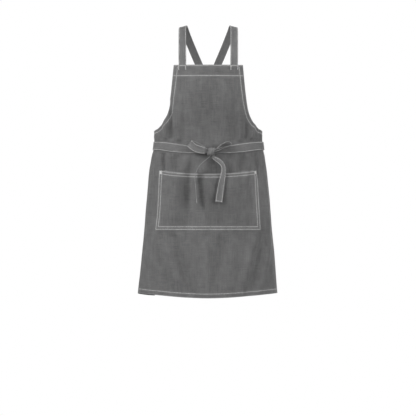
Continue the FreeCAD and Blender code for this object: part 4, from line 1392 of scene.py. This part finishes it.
for seed, (part, table, root, way) in enumerate(BOW_PARTS):
    rows = [(x, KNOT_Y + y, *rest) for x, y, *rest in table]
    place, lengths, widths = free_tape(rows, 2.6)
    tape = add_tape(
        part + "_tape", place, lengths, widths, TIE_THICKNESS, part,
        wave=0.5, seed=61 + seed * 3, pleats=1.1, body=None,
    )
    looped = part.endswith("loop")
    rows = tape_stitches(place, widths, TIE_THICKNESS, 5, len(lengths) - (5 if looped else 1))
    if not looped:
        end = len(lengths) - 3
        reach = widths[end] / 2 - TAPE_STITCH_INSET
        across = np.linspace(-reach, reach, 12)
        line = place(end, across, np.full(len(across), TIE_THICKNESS / 2 * 0.9 + THREAD_LIFT))
        up = place(end, across, np.full(len(across), TIE_THICKNESS + 1.0)) - line
        rows.append(stitches_along(line, up / np.linalg.norm(up, axis=1)[:, None]))
    stitches = add_stitches(part + "_stitches", rows, [part + "_stitching"], body=None)
    bend_from_knot(tape, part, root, way)
    bend_from_knot(stitches, part, root, way)


def add_knot():
    """The tape wrapped once round the crossing: a drawn-in band with pleats running over it."""
    around = 44
    stations = 41
    half_length = 12.6
    points, grain = [], []
    for i in range(stations):
        share = -1 + 2 * i / (stations - 1)
        x = half_length * math.sin(share * math.pi / 2)
        for k in range(around):
            angle = 2 * math.pi * k / around
            roll = math.sqrt(max(1 - abs(share) ** 5.0, 0.0))
            pleat = 0.75 * math.cos(share * 9.2 + 0.9 * math.sin(angle)) * roll
            pinch = 1 - 0.10 * math.cos(2 * angle)
            radius = (5.5 + 7.4 * roll) * pinch + pleat + 0.5 * math.sin(3 * angle + share * 2)
            slant = 2.2 * math.sin(angle)
            y = -radius * math.cos(angle)
            z = radius * 0.98 * math.sin(angle)
            points.append((KNOT_X + x + slant, KNOT_Y + y, KNOT_HEIGHT + z))
            grain.append((share * 15.0, angle * 14.0))
    faces = tube_faces(stations, around)
    wear = np.full(len(points), 0.12)
    add_piece("knot_wrap", np.array(points), faces, np.array(grain), wear, "strap_cloth", ["bow_knot"])


add_knot()

# ---- what each sheet was cut to


def polygon_area(outline):
    """The area inside an outline, in square metres."""
    loop = loop_of(outline)
    ahead = np.roll(loop, -1, axis=0)
    return abs(float((loop[:, 0] * ahead[:, 1] - loop[:, 1] * ahead[:, 0]).sum())) / 2e6


polygon_area(body_outline)
polygon_area(pocket_outline)
armhole_width = (ARMHOLE_FACING_TOP + ARMHOLE_FACING_END) / 2
armhole_length = float(distances(smooth_line(facing_line, CLOTH_MESH))[-1])
back_length = BACK_TURN_TOP - hem_corner[1]
STRIPS = {
    "left_armhole_hem": (armhole_width, armhole_length),
    "right_armhole_hem": (armhole_width, armhole_length),
    "left_back_hem": (BACK_TURN - EDGE_INSET, back_length),
    "right_back_hem": (BACK_TURN - EDGE_INSET, back_length),
    "bib_hem": (2 * bib_corner[0], BAND_HEIGHT),
    "bottom_hem": (2 * HEM_HALF_GIRTH, HEM_TURN),
    "pocket_mouth_hem": (2 * pocket_top_girth, POCKET_TURN[1] - POCKET_TURN[0]),
}
for name, (width, length) in STRIPS.items():
    base = "patch_pocket" if "pocket" in name else "apron_body"

strap_length = float(distances(np.array(strap_table(0.0))[:, :3])[-1]) / 1000
for part, table, root, way in BOW_PARTS:
    length = float(distances(np.array(table)[:, :3])[-1]) / 1000
